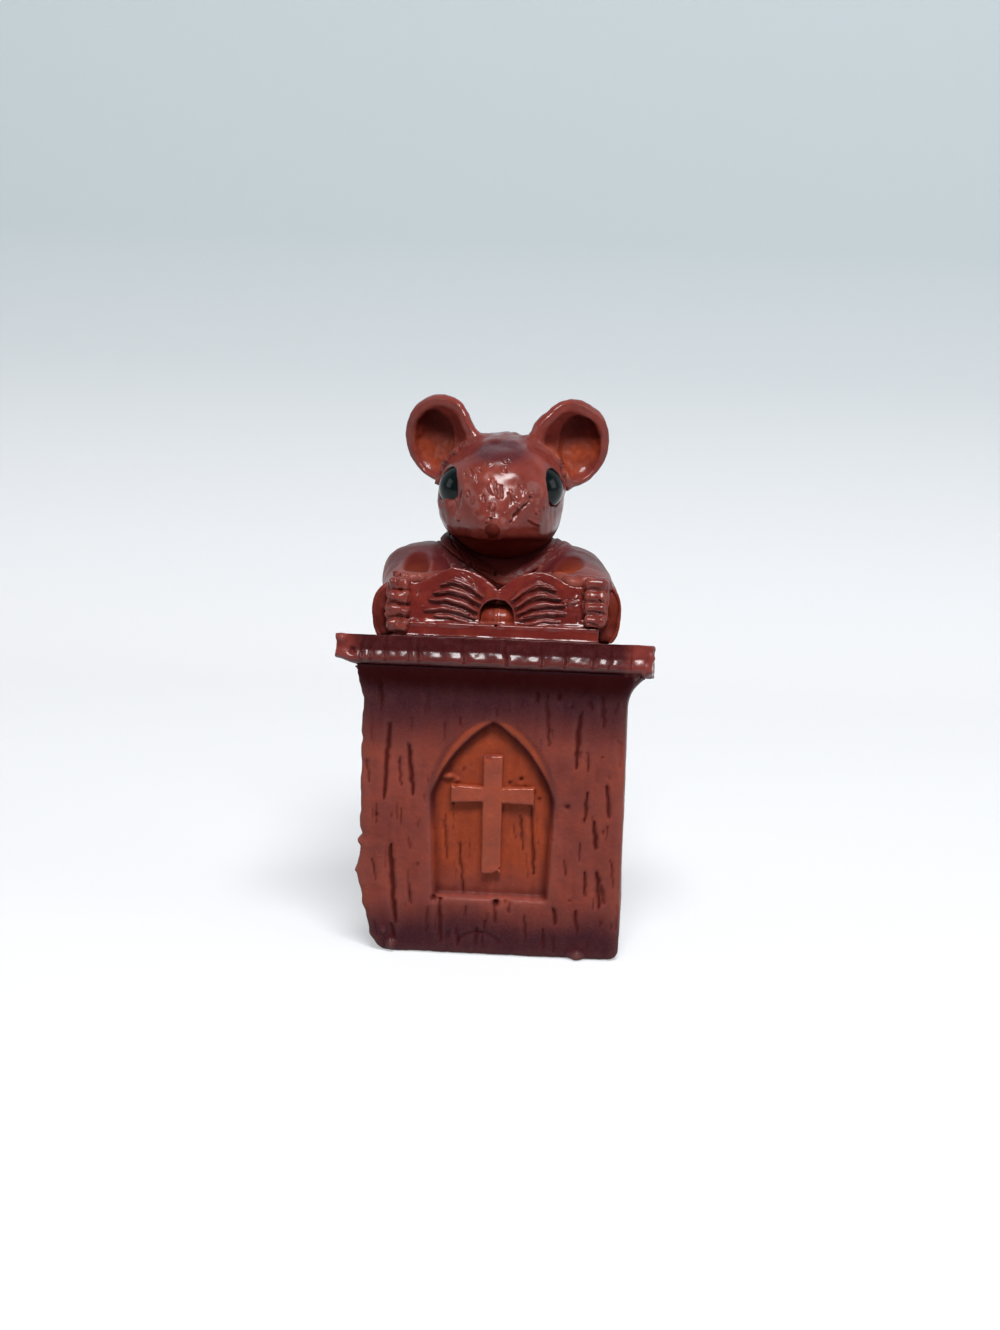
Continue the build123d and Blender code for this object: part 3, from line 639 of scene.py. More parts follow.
# The niche's upper side walls, which face away from the front, take painted shade and less
# undercoat
wall = in_niche(places, 1.5) * (1 - fade(-facing[:, 1], 0.55, 0.9)) * fade(height, 18, 27)
bare = 0.7 * niche * fade(height, 9, 17) + 0.08
shaded = np.maximum(shaded, np.clip(2.2 * rim + 0.8 * wall, 0, 0.75))
# The cove also takes darker sunk paint as painted shade, and loses its gloss
cove = fade(height, 42.5, 46)
spray(cabinet, bare * (1 - 0.7 * wall), shaded, 14, 0.2 * cove, cove)
dress(cabinet, pulpit_paint, "pulpit_resin", "pulpit_cabinet")


# The cross stands proud of the niche floor, in the same pour as the cabinet. It
# is worn round at its corners, glossier than the panel, and dark at its top end.
cross, places, facing = skin("niche_cross", 0.12, 3)
places += facing * ripple(places, (0.05, 2.2, 31), (0.05, 0.8, 32))[:, None]
for x, z, reach, deep in (
    (0.9, 13.9, 0.6, 0.5), (-0.9, 33.0, 0.8, 0.35),
    (1.4, 14.6, 0.4, 0.3), (-5.9, 28.4, 0.7, 0.3),
):
    dab(places, facing, [((x, niche_floor_y - 1.0, z), (reach, 1.4, reach), -deep)])
write(cross, places)
tip = 0.9 * near(places, (-0.9, niche_floor_y - 1.2, 33.6), (2.2, 2.0, 1.1))
spray(cross, 0.68, tip, 8)
cross_paint = resin(
    "cross_gloss_resin", colour(132, 66, 56), colour(66, 30, 44), 0.36, 1.2, 0.55
)
dress(cross, cross_paint, "pulpit_resin", "niche_cross")


# ---------------- Pulpit desk
# The sloping board is part of the same pour. Its front edge copies rough plank
# ends over a rounded glossy moulding, and its two ends ran ragged in the mould.
desk_paint = resin(
    "desk_gloss_resin", colour(114, 46, 42), colour(50, 8, 14), 0.3, 0.5, 0.75, 0.19
)
slope = radians(18)
down_board = np.array((0, cos(slope), -sin(slope)))
out_of_board = np.array((0, sin(slope), cos(slope)))
board_corner = np.array((0, -21.4, 53.0))
board_end = 24.5
# Where each gap between the plank ends lies, its width and its depth
plank_gaps = (
    (-20.3, 0.5, 0.5), (-18.9, 0.6, 0.4), (-16.7, 0.5, 0.45), (-13.0, 0.4, 0.35),
    (-11.6, 0.7, 0.6), (-4.7, 0.5, 0.5), (1.7, 0.7, 0.7), (7.1, 0.5, 0.5),
    (10.8, 0.5, 0.55), (15.2, 0.9, 0.55), (17.6, 0.6, 0.5), (20.9, 0.4, 0.3),
)
desk, places, facing = skin("pulpit_desk", 0.2, 4)
under = -(places - board_corner) @ out_of_board
inward = (places - board_corner) @ down_board
edge = 1 - fade(inward, 0.6, 1.8)
down_edge = np.stack([places[:, 0] * 0.1, under, under * 0], axis=1)
wander = places[:, 0] + 0.35 * waves(down_edge, 1.2, 41)
profile = under + 0.25 * waves(places, 6, 42)
moulding = np.interp(profile, (0, 1.9, 3.5, 3.9, 4.4), (0.1, 0, 1.0, 1.05, 0.7))
push = 1.1 * moulding - 0.85
push += 0.2 * waves(places * (1, 0, 0.6), 1.9, 43) + 0.12 * waves(places, 1.1, 44)
push += 0.04 * waves(places, 0.6, 49) * moulding
plank_edges = [-board_end] + [gap for gap, width, deep in plank_gaps] + [board_end]
for start, end in zip(plank_edges, plank_edges[1:]):
    part = np.clip((wander - start) / (end - start), 0, 1)
    push += 0.16 * (4 * part * (1 - part)) ** 0.5 * moulding - 0.05 * moulding
for gap, width, deep in plank_gaps:
    groove = deep * np.exp(-(((wander - gap) / (width * 0.4)) ** 2))
    push -= groove * (0.35 + 0.65 * fade(under, 1.2, 2.4))
places -= edge[:, None] * push[:, None] * down_board
torn = fade(np.abs(places[:, 0]), 20.5, 24.0)
crumble = ripple(places, (0.4, 1.7, 45), (0.3, 0.8, 46))
crumble -= np.where(places[:, 0] < 0, 0.05, 0.35)
places[:, 0] += np.sign(places[:, 0]) * torn * crumble
left_thin = fade(-places[:, 0], 21.5, 24.6) * fade(under, 0.8, 4.4)
places += (left_thin * 0.8)[:, None] * out_of_board
dab(places, facing, (
    ((-23.7, -20.8, 52.2), (1.5, 1.6, 1.2), 0.7),
    ((-21.8, -20.6, 50.4), (0.9, 1.2, 0.9), -0.6),
    ((-20.6, -20.0, 48.9), (0.9, 1.2, 0.9), 0.4),
    ((21.6, -20.0, 48.0), (1.3, 1.6, 1.0), 1.1),
    ((22.9, -20.2, 48.6), (0.9, 1.4, 0.8), 0.7),
    ((20.2, -19.8, 48.1), (0.8, 1.2, 0.6), 0.5),
    ((23.9, -20.8, 51.2), (0.8, 1.4, 1.6), 0.35),
))
places += facing * ripple(places, (0.07, 4, 47), (0.04, 0.9, 48))[:, None]
write(desk, places)
meet(desk, ("book_cover",), 0.8, 0.3)
places, facing = read(desk)
middle = 1 - fade(np.abs(places[:, 0] + 0.5), 19.5, 22.5)
shaded = middle * (0.85 - 0.3 * np.exp(-(((under - 3.1) / 0.8) ** 2))) + 0.05
# Painted shade on the board's underside behind its front edge, as dark spray and sunk paint
shaded = np.maximum(shaded, fade(under, 3.7, 4.3))
upper = (1 - fade(under, 1.5, 2.3)) * fade(-(facing @ down_board), -0.2, 0.4)
dull = np.maximum(0.9 * upper, fade(under, 3.7, 4.2))
spray(desk, -0.05, shaded, 12, 0.1 * fade(under, 3.8, 4.4), dull)
dress(desk, desk_paint, "pulpit_resin", "pulpit_desk")


# ---------------- Open book
# The book lies open on the desk, and the ends of its leaves face the viewer.
# Cover and leaves are one lump of glossy resin, and the leaves are cut as low
# strips that fan from the spine.
book_paint = resin(
    "book_gloss_resin", colour(104, 31, 26), colour(60, 12, 14), 0.3, 0.5, 1.0
)
cover, places, facing = skin("book_cover", 0.16, 4)
under = -(places - board_corner) @ out_of_board
front_edge = 1 - fade((places - board_corner) @ down_board, 1.6, 2.4)
places -= (front_edge * 0.22 * np.exp(-(((under + 2.3) / 0.35) ** 2)))[:, None] * down_board
swell = 0.09 * waves(places * (1, 0.5, 1), 2.6, 51) + 0.05 * waves(places, 0.9, 52)
places += facing * swell[:, None]
carve(places, facing, 0.25, [
    ((-0.3, -19.2, 56.0), (-0.2, -20.0, 54.3), 1.3, 0.7),
    ((-0.3, -19.6, 55.3), (-0.6, -20.5, 52.8), 0.5, 0.45),
    ((-13.4, -19.6, 55.0), (-12.9, -20.5, 52.8), 0.4, 0.3),
    ((-5.6, -19.8, 54.9), (-6.1, -20.4, 53.6), 0.3, 0.15),
    ((6.5, -19.8, 54.9), (7.7, -20.4, 53.4), 0.4, 0.2),
    ((11.2, -19.6, 55.1), (14.6, -20.4, 53.2), 0.7, 0.45),
    ((12.7, -19.6, 55.3), (15.3, -20.4, 53.4), 0.4, 0.3),
])
write(cover, places)
meet(cover, ("left_pages", "right_pages", "pulpit_desk"), 0.6, 0.25)
spray(cover, 0.0, 0.12, 9)
dress(cover, book_paint, "book_resin", "book_cover")

spine = np.array((0, -16.6, 55.0))
hole_height = 54.6
# The line of each strip of leaves, then its width and depth
page_strips = {
    "left_pages": (
        ((-8.8, -16.2, 60.5), (-6.6, -16.2, 60.8), (-4.0, -16.5, 60.1), (-2.1, -17.0, 58.7),
         1.0, 0.6),
        ((-10.0, -16.5, 59.3), (-7.4, -16.6, 59.5), (-4.6, -16.8, 58.8), (-2.5, -17.2, 57.6),
         1.0, 0.7),
        ((-10.4, -16.9, 58.3), (-7.9, -17.0, 58.2), (-5.2, -17.3, 57.6), (-3.0, -17.5, 56.5),
         1.0, 0.7),
        ((-11.2, -17.5, 56.3), (-8.6, -17.6, 56.9), (-5.8, -17.8, 56.5), (-3.2, -17.9, 55.4),
         0.9, 0.6),
        ((-9.6, -17.8, 55.7), (-7.0, -18.0, 55.6), (-4.4, -18.1, 54.9), 0.7, 0.4),
    ),
    "right_pages": (
        ((2.2, -17.0, 58.3), (3.8, -16.6, 59.7), (6.3, -16.2, 60.8), (9.0, -16.2, 60.6),
         1.0, 0.6),
        ((2.7, -17.2, 57.2), (4.6, -16.9, 58.6), (7.1, -16.7, 59.4), (9.7, -16.6, 59.4),
         1.0, 0.7),
        ((3.1, -17.5, 56.3), (5.1, -17.3, 57.4), (7.7, -17.1, 58.1), (10.4, -17.0, 58.3),
         1.0, 0.65),
        ((3.5, -17.8, 55.5), (5.7, -17.7, 56.4), (8.3, -17.6, 56.8), (10.6, -17.7, 56.7),
         0.9, 0.6),
        ((4.4, -18.1, 54.9), (7.0, -18.1, 55.5), (9.9, -18.1, 55.5), 0.7, 0.4),
    ),
}
for name, strips in page_strips.items():
    pages, places, facing = skin(name, 0.15, 7)
    inward = (places - board_corner) @ down_board
    end_face = fade(-(facing @ down_board), 0.25, 0.7)
    end_line = np.median(inward[end_face > 0.95])
    places += np.clip(end_line - inward, 0, None)[:, None] * down_board
    ridges = strokes(places, strips, 0.08, 2.5)
    places -= (end_face * ridges * 1.15)[:, None] * down_board
    gap = np.linalg.norm((places - spine) * (1, 0, 1), axis=1)
    back = fade(inward - end_line, 1.0, 1.6) * (1 - fade(gap, 2.7, 3.2))
    back *= fade(-(facing @ down_board), 0.2, 0.6)
    round_up = np.clip(1 - ((places[:, 2] - hole_height) / 2.1) ** 2, 0, 1)
    round_out = np.clip(1 - (places[:, 0] / 3.4) ** 2, 0, 1)
    arch = np.where(places[:, 2] < hole_height, 1, round_up)
    ledge = back * 2.2 * np.sqrt(arch * round_out)
    places -= ledge[:, None] * down_board
    crack = 1 - fade(np.abs(places[:, 0]), 0.3, 1.2)
    places[:, 0] -= np.sign(places[:, 0]) * 0.5 * back * crack
    lumps = 0.35 * waves(places, 0.9, 57)
    lumps *= near(places, (11.6, -16.9, 58.6), (2.2, 2.5, 2.6)) * end_face
    places -= (np.abs(lumps) * 1.5)[:, None] * down_board
    carve(places, facing, 0.3, [
        ((9.6, -17.0, 58.9), (10.9, -17.2, 57.9), 0.4, 0.4),
        ((10.6, -16.7, 59.6), (11.9, -17.0, 58.6), 0.4, 0.35),
        ((11.6, -17.0, 57.6), (12.9, -17.5, 56.5), 0.4, 0.35),
        ((12.9, -16.6, 60.2), (13.3, -17.9, 55.6), 0.6, 0.5),
        ((12.2, -17.6, 56.6), (12.7, -18.0, 55.2), 0.4, 0.3),
        ((-12.0, -16.6, 59.9), (-12.6, -17.0, 58.5), 0.4, 0.25),
        ((-10.9, -17.4, 57.6), (-12.3, -17.5, 57.3), 0.4, 0.25),
    ])
    sag = sum(near(places[:, :1], (middle,), (5.0,)) for middle in (-11.4, 10.4))
    places[:, 2] -= 0.8 * sag * fade(places[:, 2], 56.0, 60.5)
    places += facing * ripple(places, (0.17, 2.4, 53), (0.06, 0.8, 54))[:, None]
    write(pages, places)
    meet(pages, ("book_cover",), 0.7, 0.3)
    meet(pages, [other for other in page_strips if other != name], 0.6, 0.15)
    places, facing = read(pages)
    # The low ledge in the spine's hollow takes sunk paint as painted shade
    low = back * (1 - fade(places[:, 2], 56.0, 56.9))
    shaded = 0.25 * fade(waves(places, 4, 55), -0.2, 0.8) * end_face
    spray(pages, 0.3 * back, shaded, 9, 0.08 * low, 0.5 * back)
    dress(pages, book_paint, "book_resin", name)


# ---------------- Robe
# The preacher's gown: collar, body and wide sleeves are all in the one casting.
# Overspray missed the hollows in front of the arms, where the undercoat shows.
robe_paint = resin(
    "robe_gloss_resin", colour(112, 46, 40), colour(64, 20, 28), 0.42, 0.6, 0.18, 0.2
)
# The middle, reach and depth of the smooth dish that a thumb left in the clay of
# each sleeve, below the shoulder
arm_dishes = (
    ((-13.4, -6.6, 59.6), (2.3, 6.0, 4.6), 1.0),
    ((10.5, -6.8, 59.8), (2.8, 5.6, 4.2), 0.55),
)


def gown_spray(piece, rounds, shade=0.0):
    """Paints a piece of the gown, bare in front of the arms and dark on top, with painted
    shade in the arm dishes, inside the cuffs, under the chin and where shade is given.
    """
    places, facing = read(piece)
    amber = np.maximum(*(
        1 - fade(apart(places, middle, reach), 0.65, 1.1)
        for middle, reach, deep in arm_dishes
    ))
    top = 0.7 * fade(facing[:, 2], 0.2, 0.8) * fade(places[:, 1], -10, -2)
    hem = 0.6 * (1 - fade(places[:, 2] + 2 * waves(places, 6, 61), 3, 12))
    chest = 0.3 * near(places, (-1.3, -2.5, 58.5), (5, 5, 2.5))
    outward = places * (np.sign(places[:, 0].mean()), 1, 1)
    cuff = near(outward, (18.2, -17.5, 56.5), (3.6, 4.5, 7.0))
    cuff = np.clip(1.6 * cuff, 0, 1) * fade(-(facing @ down_board), 0.1, 0.6)
    # Painted shade at the neck under the chin, inside the cuffs and in the arm dishes, as
    # sunk paint
    neck = near(places, (-1.0, -3.4, 63.2), (13, 9, 5.4))
    left = places[:, 0] < 0
    sunk_and_shade = 0.34 * neck + np.where(left, 0.24, 0.2) * cuff
    sunk_and_shade += np.where(left, 0.2, 0.12) * amber + shade
    dull = np.maximum(np.maximum(1.5 * neck, 0.7 * amber), 0.7 * cuff)
    bare = np.maximum(np.maximum(amber, chest), np.where(left, 0.12, 0.35) * cuff)
    spray(piece, bare, np.maximum(top, hem), rounds, sunk_and_shade, dull)


def tuck(places):
    """Draws in the gown and the collar where the right shoulder turns under them."""
    for axis, shift in ((0, 1.3), (2, 0.7)):
        places[:, axis] -= shift * near(places, (9.6, 3.0, 64.6), (3.6, 7, 3.6))


robe, places, facing = skin("robe_body", 0.3, 26)
swell = ripple(places, (0.22, 8, 62), (0.07, 2.4, 63))
folds = 0.28 * waves(places * (1, 1, 0.18), 4.2, 64)
swell += folds * (1 - fade(places[:, 2], 40, 56))
places += facing * swell[:, None]
carve(places, facing, 0.15, [((-1.3, -3.2, 60.6), (-1.2, -3.4, 56.6), 0.8, 0.5)])
tuck(places)
write(robe, places)
meet(robe, ("left_sleeve", "right_sleeve"), 2.0, 0.8)
eased(robe, 3)
gown_spray(robe, 10)
dress(robe, robe_paint, "robe_resin", "robe_body")

collar, places, facing = skin("robe_collar", 0.13, 30)
tuck(places)
outer = fade((facing * (places - (-0.6, 7.8, 60))).sum(axis=1), 0, 3)
places += facing * (outer * ripple(places, (0.1, 2.2, 65), (0.04, 0.8, 66)))[:, None]
stitch = strokes(
    places,
    [
        ((-8.7, 0.6, 63.3), (-6.6, -1.6, 61.0), 0.45, 0.28),
        ((-6.6, -1.6, 61.0), (-4.1, -2.7, 59.5), 0.5, 0.3),
        ((-4.1, -2.7, 59.5), (-1.5, -2.8, 59.1), 0.45, 0.28),
        ((7.3, 0.6, 63.8), (5.2, -1.7, 61.6), 0.4, 0.2),
        ((5.2, -1.7, 61.6), (2.9, -2.8, 59.9), 0.45, 0.2),
        ((-1.3, -2.6, 60.6), (-1.3, -3.4, 57.6), 0.7, 0.5),
    ],
    0.2,
)
places -= facing * (outer * stitch)[:, None]
write(collar, places)
# The collar is darker all over with painted shade from the chin above it
gown_spray(collar, 8, 0.1)
dress(collar, robe_paint, "robe_resin", "robe_collar")

for name, side in (("left_sleeve", -1), ("right_sleeve", 1)):
    sleeve, places, facing = skin(name, 0.17, 6)
    inward = (places - board_corner) @ down_board
    cuff_end = (3.5 if side < 0 else 3.9) + 0.3 * waves(places, 3.0, 75 + side)
    floor = (inward > cuff_end) & (inward < 5.2) & (facing @ down_board < -0.3)
    places += (floor * (cuff_end - inward))[:, None] * down_board
    write(sleeve, places)
    eased(sleeve, 40)
    places, facing = read(sleeve)
    swell = ripple(places, (0.25, 5, 67 + side), (0.07, 1.8, 69))
    if side < 0:
        upper_arm = near(places, (-18.0, 2.0, 60.5), (5, 9, 6))
        swell += 0.7 * upper_arm - 0.4 * near(places, (-19.5, -8, 54), (4, 12, 5))
        swell += 0.5 * near(places, (-17.6, -16.6, 55.5), (2.2, 3.0, 5.5))
    else:
        swell += 0.5 * near(places, (18.8, -8.0, 60.0), (4, 9, 6))
        swell += 0.9 * near(places, (8.8, -10.0, 60.0), (3.2, 4.5, 3.2))
    for middle, reach, deep in arm_dishes:
        across_dish = apart(places, middle, reach)
        swell -= deep * np.sqrt(np.clip(1 - across_dish**2, 0, 1))
        swell += 0.06 * np.exp(-(((across_dish - 1.15) / 0.15) ** 2))
    places += facing * swell[:, None]
    rim = 1 - fade(places[:, 1] - places[:, 1].min(), 0.3, 2.6)
    places[:, 1] += rim * (0.35 + 0.35 * waves(places, 1.4, 70 + side))
    places[:, 0] -= side * rim * 0.15 * (1 + waves(places, 1.1, 72))
    carve(places, facing, 0.3, [
        ((16.0, -17.9, 61.8), (17.6, -17.3, 60.3), 0.5, 0.45),
        ((17.6, -17.3, 60.3), (18.2, -17.8, 58.6), 0.5, 0.4),
        ((18.2, -17.8, 58.6), (18.0, -18.2, 56.8), 0.4, 0.3),
        ((-17.2, -16.5, 61.4), (-16.0, -16.8, 60.8), 0.4, 0.3),
        ((16.4, -17.4, 61.4), (17.2, -17.6, 60.6), (17.0, -18.0, 58.0), 0.9, 0.6),
        ((19.6, -16.4, 58.9), (19.9, -16.8, 58.0), 0.7, 0.6),
        ((-19.2, -12.0, 60.4), (-19.9, -15.0, 59.0), (-20.0, -16.5, 57.0), 0.9, 0.4),
    ])
    write(sleeve, places)
    meet(sleeve, ("robe_body", "robe_collar"), 1.6, 0.6)
    meet(sleeve, ("left_pages" if side < 0 else "right_pages",), 1.2, 1.1)
    eased(sleeve, 2)
    gown_spray(sleeve, 9)
    dress(sleeve, robe_paint, "robe_resin", name)


# ---------------- Paws
# Each paw grips an end of the book with four stubby fingers, hardly parted
# from the sleeve behind them because the mould was soft there.
fur_paint = resin(
    "fur_gloss_resin", colour(116, 48, 41), colour(60, 22, 32), 0.3, 0.6, 0.8, 0.2
)
for name, side in (("left_paw", -1), ("right_paw", 1)):
    softening, lumpiness = (26, 0.24) if side < 0 else (45, 0.1)
    paw, places, facing = skin(name, 0.1, softening)
    lumps = ripple(places, (0.3, 1.7, 81 + side), (lumpiness, 0.75, 83))
    places += facing * lumps[:, None]
    carve(places, facing, 0.3, [
        ((14.0, -18.6, 60.9), (15.4, -18.6, 61.0), 0.5, 0.4),
        ((13.8, -18.8, 59.2), (16.2, -18.6, 59.1), 0.5, 0.45),
        ((13.8, -19.2, 57.5), (16.0, -19.0, 57.5), 0.5, 0.45),
        ((14.0, -19.6, 55.7), (16.0, -19.4, 55.8), 0.6, 0.4),
        ((-15.0, -18.0, 61.2), (-15.3, -18.6, 60.0), 0.4, 0.3),
        ((-14.2, -18.6, 58.4), (-14.5, -19.0, 57.4), 0.35, 0.25),
    ])
    write(paw, places)
    meet(paw, (name.replace("paw", "sleeve"), name.replace("paw", "pages")), 0.9, 0.4)
    places, facing = read(paw)
    spray(paw, 0.05, 0.3 * fade(waves(places, 2, 84), -0.2, 0.7), 8, 0.05)
    dress(paw, fur_paint, "fur_resin", name)


# ---------------- Head
# The mouse's head: a smooth skull under a coat cut with short fur marks, which
# ends in a torn edge on one cheek and a sharp ledge over the chin.
fur_marks = [
    (-6.2, -3.5, 75.6, -5.4, -5.7, 73.9), (-5.6, -3.9, 75.9, -4.7, -5.5, 74.8),
    (-6.9, -3.4, 75.1, -6.4, -4.7, 74.0), (-4.3, -5.4, 75.2, -4.0, -6.4, 74.1),
    (-2.3, -6.3, 74.9, -1.9, -7.4, 73.4), (-1.4, -6.7, 74.6, -0.8, -7.9, 72.7),
    (-0.4, -7.0, 74.1, -0.2, -8.2, 72.2), (0.6, -7.5, 73.1, 1.2, -8.3, 71.3),
    (1.3, -7.1, 73.4, 2.0, -7.7, 71.8), (2.2, -6.3, 74.3, 2.5, -6.9, 73.0),
    (-3.8, -4.5, 76.3, -3.4, -5.4, 75.6), (0.0, -5.0, 76.5, 0.3, -5.7, 75.8),
    (3.1, -4.5, 75.9, 3.4, -4.9, 75.2), (-3.1, -7.7, 72.6, -2.7, -8.4, 71.6),
    (-2.0, -8.5, 71.6, -2.3, -9.1, 70.4), (-1.1, -9.0, 71.0, -1.2, -9.6, 69.5),
    (-9.5, -2.2, 70.4, -9.0, -3.3, 69.8), (-8.5, -3.9, 70.4, -7.8, -4.9, 68.6),
    (-7.8, -4.8, 71.2, -7.1, -5.7, 70.6), (-9.3, -2.6, 69.1, -8.5, -4.0, 68.7),
    (-6.8, -6.1, 69.7, -6.3, -6.6, 68.6), (-7.3, -5.6, 68.4, -6.5, -6.3, 68.0),
    (-8.8, -3.3, 67.8, -7.7, -4.7, 67.3), (-10.0, -1.0, 69.3, -9.7, -1.7, 68.6),
    (2.5, -7.1, 72.7, 3.7, -6.8, 71.7), (3.6, -6.3, 72.9, 4.5, -6.1, 71.9),
    (2.2, -7.8, 71.2, 3.4, -7.4, 70.4), (1.9, -8.4, 70.2, 2.9, -7.9, 69.5),
    (1.6, -8.8, 69.3, 2.5, -8.2, 68.6), (3.1, -7.1, 71.9, 4.2, -6.1, 72.5),
    (4.8, -5.6, 72.8, 5.3, -5.5, 71.9), (4.4, -6.8, 68.7, 6.1, -4.8, 67.5),
    (3.4, -7.4, 68.0, 4.9, -5.9, 67.1), (5.3, -5.9, 70.1, 6.0, -5.2, 69.6),
    (0.8, -9.3, 68.3, 1.8, -8.7, 67.8), (-5.3, -6.3, 73.0, -5.0, -6.9, 72.1),
    (-4.5, -7.2, 72.0, -4.3, -7.8, 71.1), (-7.0, -0.9, 76.6, -6.7, -2.2, 76.2),
    (0.4, -3.8, 77.5, 0.7, -4.5, 76.9), (-3.0, -4.1, 77.0, -3.1, -4.8, 76.3),
    (5.7, -4.8, 72.7, 5.9, -4.8, 71.9), (6.7, -4.3, 70.6, 7.1, -3.8, 69.8),
    (-5.1, -7.7, 69.3, -4.6, -8.3, 68.5), (-3.9, -8.4, 70.3, -3.7, -8.9, 69.3),
]
torn_edge = [
    (4.5, -5.9, 72.5), (3.7, -6.9, 71.5), (2.6, -7.9, 70.5), (1.9, -8.6, 69.4),
    (1.2, -9.1, 68.7),
]
forehead = np.array((0.8, -6.6, 73.9))
# Each eye's spot on the head, the way it looks, how far its bead stands out of
# the spot, and how far its lids close over it
eyes = []
for name, spot, turn, stand, lids in (
    ("left_eye", (-8.7, -1.7, 72.4), -60, 1.65, 0.15),
    ("right_eye", (7.8, -0.4, 72.7), 70, 0.95, 0.85),
):
    turn = radians(turn)
    rise = radians(8)
    way = np.array((cos(rise) * sin(turn), -cos(rise) * cos(turn), sin(rise)))
    eyes.append((name, np.array(spot), way, stand, lids))


def about(places, spot, way):
    """How far out along an axis each point lies, and its offset and distance from
    the axis."""
    offset = places - spot
    out = offset @ way
    aside = offset - out[:, None] * way
    return out, aside, np.linalg.norm(aside, axis=1)


head, places, facing = skin("head", 0.155, 52)
swell = ripple(places, (0.16, 5, 91), (0.05, 1.6, 92))
face = fade(-places[:, 1], -2, 1.5) * fade(places[:, 2], 65.8, 67)
above = (places - forehead) @ np.array((0.06, -0.78, 0.62))
swell -= 0.55 * above * near(places, forehead, (6, 6, 6))
swell += face * ripple(places, (0.05, 1.1, 93), (0.15, 2.6, 94))
swell -= 0.8 * near(places, (-7.4, -4.9, 71.6), (2.2, 2.6, 4.0))
swell += 0.25 * waves(places, 1.5, 98) * fade(places[:, 2], 78.3, 79.5)
left_cheek = near(places, (-9.6, -0.5, 69.0), (5, 8, 7))
swell += 0.1 * left_cheek - 0.85 * near(places, (9.2, -0.5, 69.5), (5, 8, 6))
places[:, 0] -= 0.35 * fade(places[:, 2], 63, 67) * (1 - fade(places[:, 2], 75, 79))
ledge = 0.4 * waves(places * (1, 1, 0), 2.2, 99)
places[:, 2] += ledge * near(places, (-1, -6, 66.0), (14, 14, 1.6))
for index, (x, y, z, end_x, end_y, end_z) in enumerate(fur_marks):
    bend = 0.35 * ((index * 37) % 5 - 2) / 2
    size = (0.75 + 0.15 * ((index * 23) % 4)) * np.interp(x, (-9, -5.5), (0.55, 1))
    turning = ((x + end_x) / 2 + bend, (y + end_y) / 2, (z + end_z) / 2)
    line = [(x, y, z), turning, (end_x, end_y, end_z)]
    swell -= strokes(places, [(*line, 0.52 * size, 0.27 * size)], 0.06)
    side = 1 if bend > 0 else -1
    lip = [(x + side * 0.5 * size, y, z + 0.1) for x, y, z in line]
    swell += strokes(places, [(*lip, 0.9 * size, 0.19 * size)], 0.06, 2)
swell -= strokes(places, [(*torn_edge, 0.9, 0.35)], 0.55)
lifted = [(x - 0.7, y - 0.2, z + 0.5) for x, y, z in torn_edge]
swell += strokes(places, [(*lifted, 1.9, 0.35)], 0.45)
for name, spot, way, stand, lids in eyes:
    out, aside, ring = about(places, spot, way)
    swell += 0.12 * np.exp(-(((ring - 3.5) / 0.5) ** 2)) * (out > -2.5)
    lid = lids * np.exp(-(((ring - 3.15) / 0.55) ** 2)) * fade(out, -2.2, -0.6)
    places -= aside * (lid / np.maximum(ring, 1))[:, None]
places += facing * swell[:, None]
write(head, places)
meet(head, ("left_ear", "right_ear", "nose"), 1.6, 0.7)
places, facing = read(head)
brow = np.clip(1.4 * near(places, (-1.0, -2.0, 78.6), (7.0, 5.5, 3.6)), 0, 0.75)
crown = 0.3 * fade(places[:, 2], 76.5, 80) * fade(facing[:, 2], 0.2, 0.8)
# Under the ledge over the chin: a little bare undercoat, painted shade as sunk paint, and no
# gloss
chin = 1 - fade(places[:, 2] + 0.5 * waves(places, 3, 95), 65.1, 66.3)
bare = 0.2 * chin + 0.25 * near(places, (-3, -5, 75.0), (5, 4, 3))
cheeks = 0.8 * near(places, (9.0, -3.5, 69.5), (7, 7, 6))
cheeks += 0.5 * near(places, (-9.5, -2.5, 69), (5, 6, 6))
shaded = np.maximum(brow, crown) + 0.2 * fade(waves(places, 5, 96), 0, 1)
spray(head, bare, shaded, 6, 0.2 * chin, np.maximum(0.8 * chin, cheeks))
dress(head, fur_paint, "fur_resin", "head")

# The nose is a small button pressed on the snout's tip, cut off level at the
# ledge over the chin.
nose, places, facing = skin("nose", 0.1, 8)
places += facing * (0.15 + 0.1 * waves(places, 1.1, 97))[:, None]
places[:, 2] -= 0.4 * (places[:, 2] < 66.6)
write(nose, places)
meet(nose, ("head",), 0.6, 0.25)
spray(nose, 0.35, 0.1, 8, 0.3, 0.5)
dress(nose, fur_paint, "fur_resin", "nose")


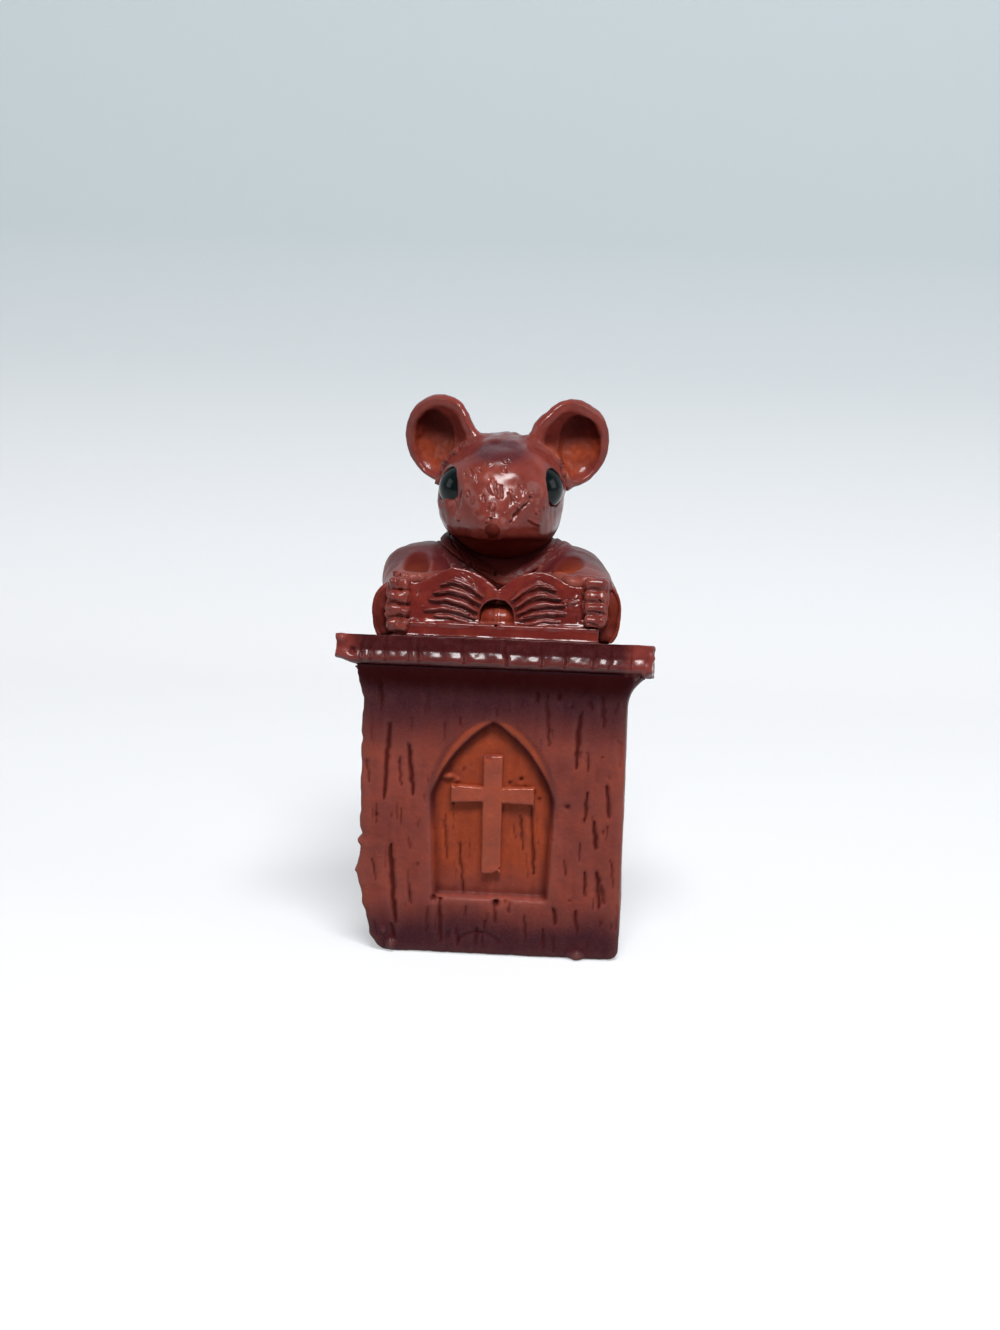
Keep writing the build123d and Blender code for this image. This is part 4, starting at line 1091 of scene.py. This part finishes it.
# ---------------- Ears
# Big round ears with thick rolled rims, part of the head's casting. Each is
# painted dark at the top of the hollow as painted shade, and is orange below,
# where the spray gun did not reach.
ear_turn = radians(30)
for name, side in (("left_ear", -1), ("right_ear", 1)):
    ear, places, facing = skin(name, 0.13, 34)
    axis = np.array((side * sin(ear_turn), -cos(ear_turn), 0))
    middle = np.array((-0.6 + side * 10.1, 6.5, 78.45))
    out, aside, ring = about(places, middle, axis)
    inside = (1 - fade(ring, 4.9, 6.0)) * fade(facing @ axis, -0.4, 0.1)
    swell = ripple(places, (0.2, 4, 101 + side), (0.1, 1.6, 103))
    swell += inside * ripple(places, (0.2, 1.8, 104), (0.08, 0.8, 105))
    nicks = strokes(
        places,
        [
            ((7.2, 3.2, 81.3), (7.7, 2.6, 80.8), 0.7, 0.5),
            ((8.2, 3.0, 81.0), (8.6, 2.8, 80.7), 0.5, 0.4),
            ((9.4, 3.2, 83.8), (11.0, 3.6, 83.9), 0.4, 0.3),
            ((10.2, 3.4, 82.7), (11.4, 3.8, 82.9), 0.4, 0.25),
            ((-8.0, 4.6, 79.0), (-7.4, 4.8, 78.2), 0.6, 0.3),
            ((-7.2, 5.0, 80.4), (-6.6, 5.2, 79.6), 0.5, 0.25),
        ],
        0.3,
    )
    places += facing * (swell - nicks)[:, None]
    for spot, reach, deep in (
        ((-5.5, 5.0, 82.0), (4.0, 6.0, 4.5), 1.0),
        ((-16.0, 2.5, 83.5), (3.5, 6.0, 4.0), 0.3),
        ((13.3, 4.0, 83.9), (4.5, 6.0, 4.5), 1.3),
        ((5.8, 6.0, 83.3), (3.0, 6.0, 3.0), 0.6),
    ):
        pinch = near(places, spot, reach) * deep / np.maximum(ring, 1)
        places -= aside * pinch[:, None]
    write(ear, places)
    meet(ear, ("head",), 1.4, 0.6)
    # Painted shade at the top of each hollow, as sunk paint, and less gloss there
    low = 1 - fade(places[:, 2] - middle[2], -1.5, 2.2)
    sunk_and_shade = inside * (0.06 + (1 - low) * 0.25)
    dull = 0.7 * inside * (1 - 0.6 * low)
    spray(ear, inside * (0.15 + 0.55 * low), 0.05, 9, sunk_and_shade, dull)
    dress(ear, fur_paint, "fur_resin", name)


# ---------------- Eyes
# Each eye is a polished bead of black-green glass, set in the head after casting.
# Its hidden back is cut off here.
glass, glass_tree, glass_shader = new_material("black_green_glass")
bead_place = glass_tree.nodes.new("ShaderNodeTexCoord").outputs["Object"]
bead_cloud = noise(glass_tree, bead_place, 900, 3, 0.6)
bead_tint = mixed(glass_tree, bead_cloud, colour(3, 8, 9), colour(12, 23, 25))
polish = {"Roughness": 0.12, "Specular IOR Level": 0.2}
feed(glass_tree, glass_shader, {"Base Color": bead_tint, **polish})
bead_ball = 3.9
bead_behind = 0.6
for name, spot, way, stand, lids in eyes:
    centre = spot + way * (stand - bead_ball)
    bpy.ops.mesh.primitive_uv_sphere_add(
        segments=64, ring_count=48, radius=bead_ball * mm, location=centre * mm
    )
    bead = bpy.context.active_object
    bead.name = name + "_bead"
    turn = Vector((0, 0, 1)).rotation_difference(Vector(way)).to_matrix().to_4x4()
    bead.matrix_world = Matrix.Translation(Vector(centre) * mm) @ turn
    bpy.ops.object.transform_apply(location=True, rotation=True, scale=True)
    shaped = bmesh.new()
    shaped.from_mesh(bead.data)
    cut = bmesh.ops.bisect_plane(
        shaped,
        geom=shaped.verts[:] + shaped.edges[:] + shaped.faces[:],
        plane_co=(spot - way * bead_behind) * mm,
        plane_no=way,
        clear_inner=True,
    )
    rim = [edge for edge in cut["geom_cut"] if isinstance(edge, bmesh.types.BMEdge)]
    bmesh.ops.contextual_create(shaped, geom=rim)
    bmesh.ops.recalc_face_normals(shaped, faces=shaped.faces)
    shaped.to_mesh(bead.data)
    shaped.free()
    bead.data.polygons.foreach_set("use_smooth", [True] * len(bead.data.polygons))
    dress(bead, glass, "eye_glass", name)


# ---------------- Tail
# The tail comes out under the gown's hem and lies round it on the ground. It is
# part of the casting, and has the fur's paint.
tail, places, facing = skin("tail", 0.13, 20)
places += facing * ripple(places, (0.08, 1.7, 111), (0.05, 0.7, 112))[:, None]
write(tail, places)
meet(tail, ("robe_body",), 0.9, 0.4)
spray(tail, 0.0, 0.25, 8)
dress(tail, fur_paint, "fur_resin", "tail")
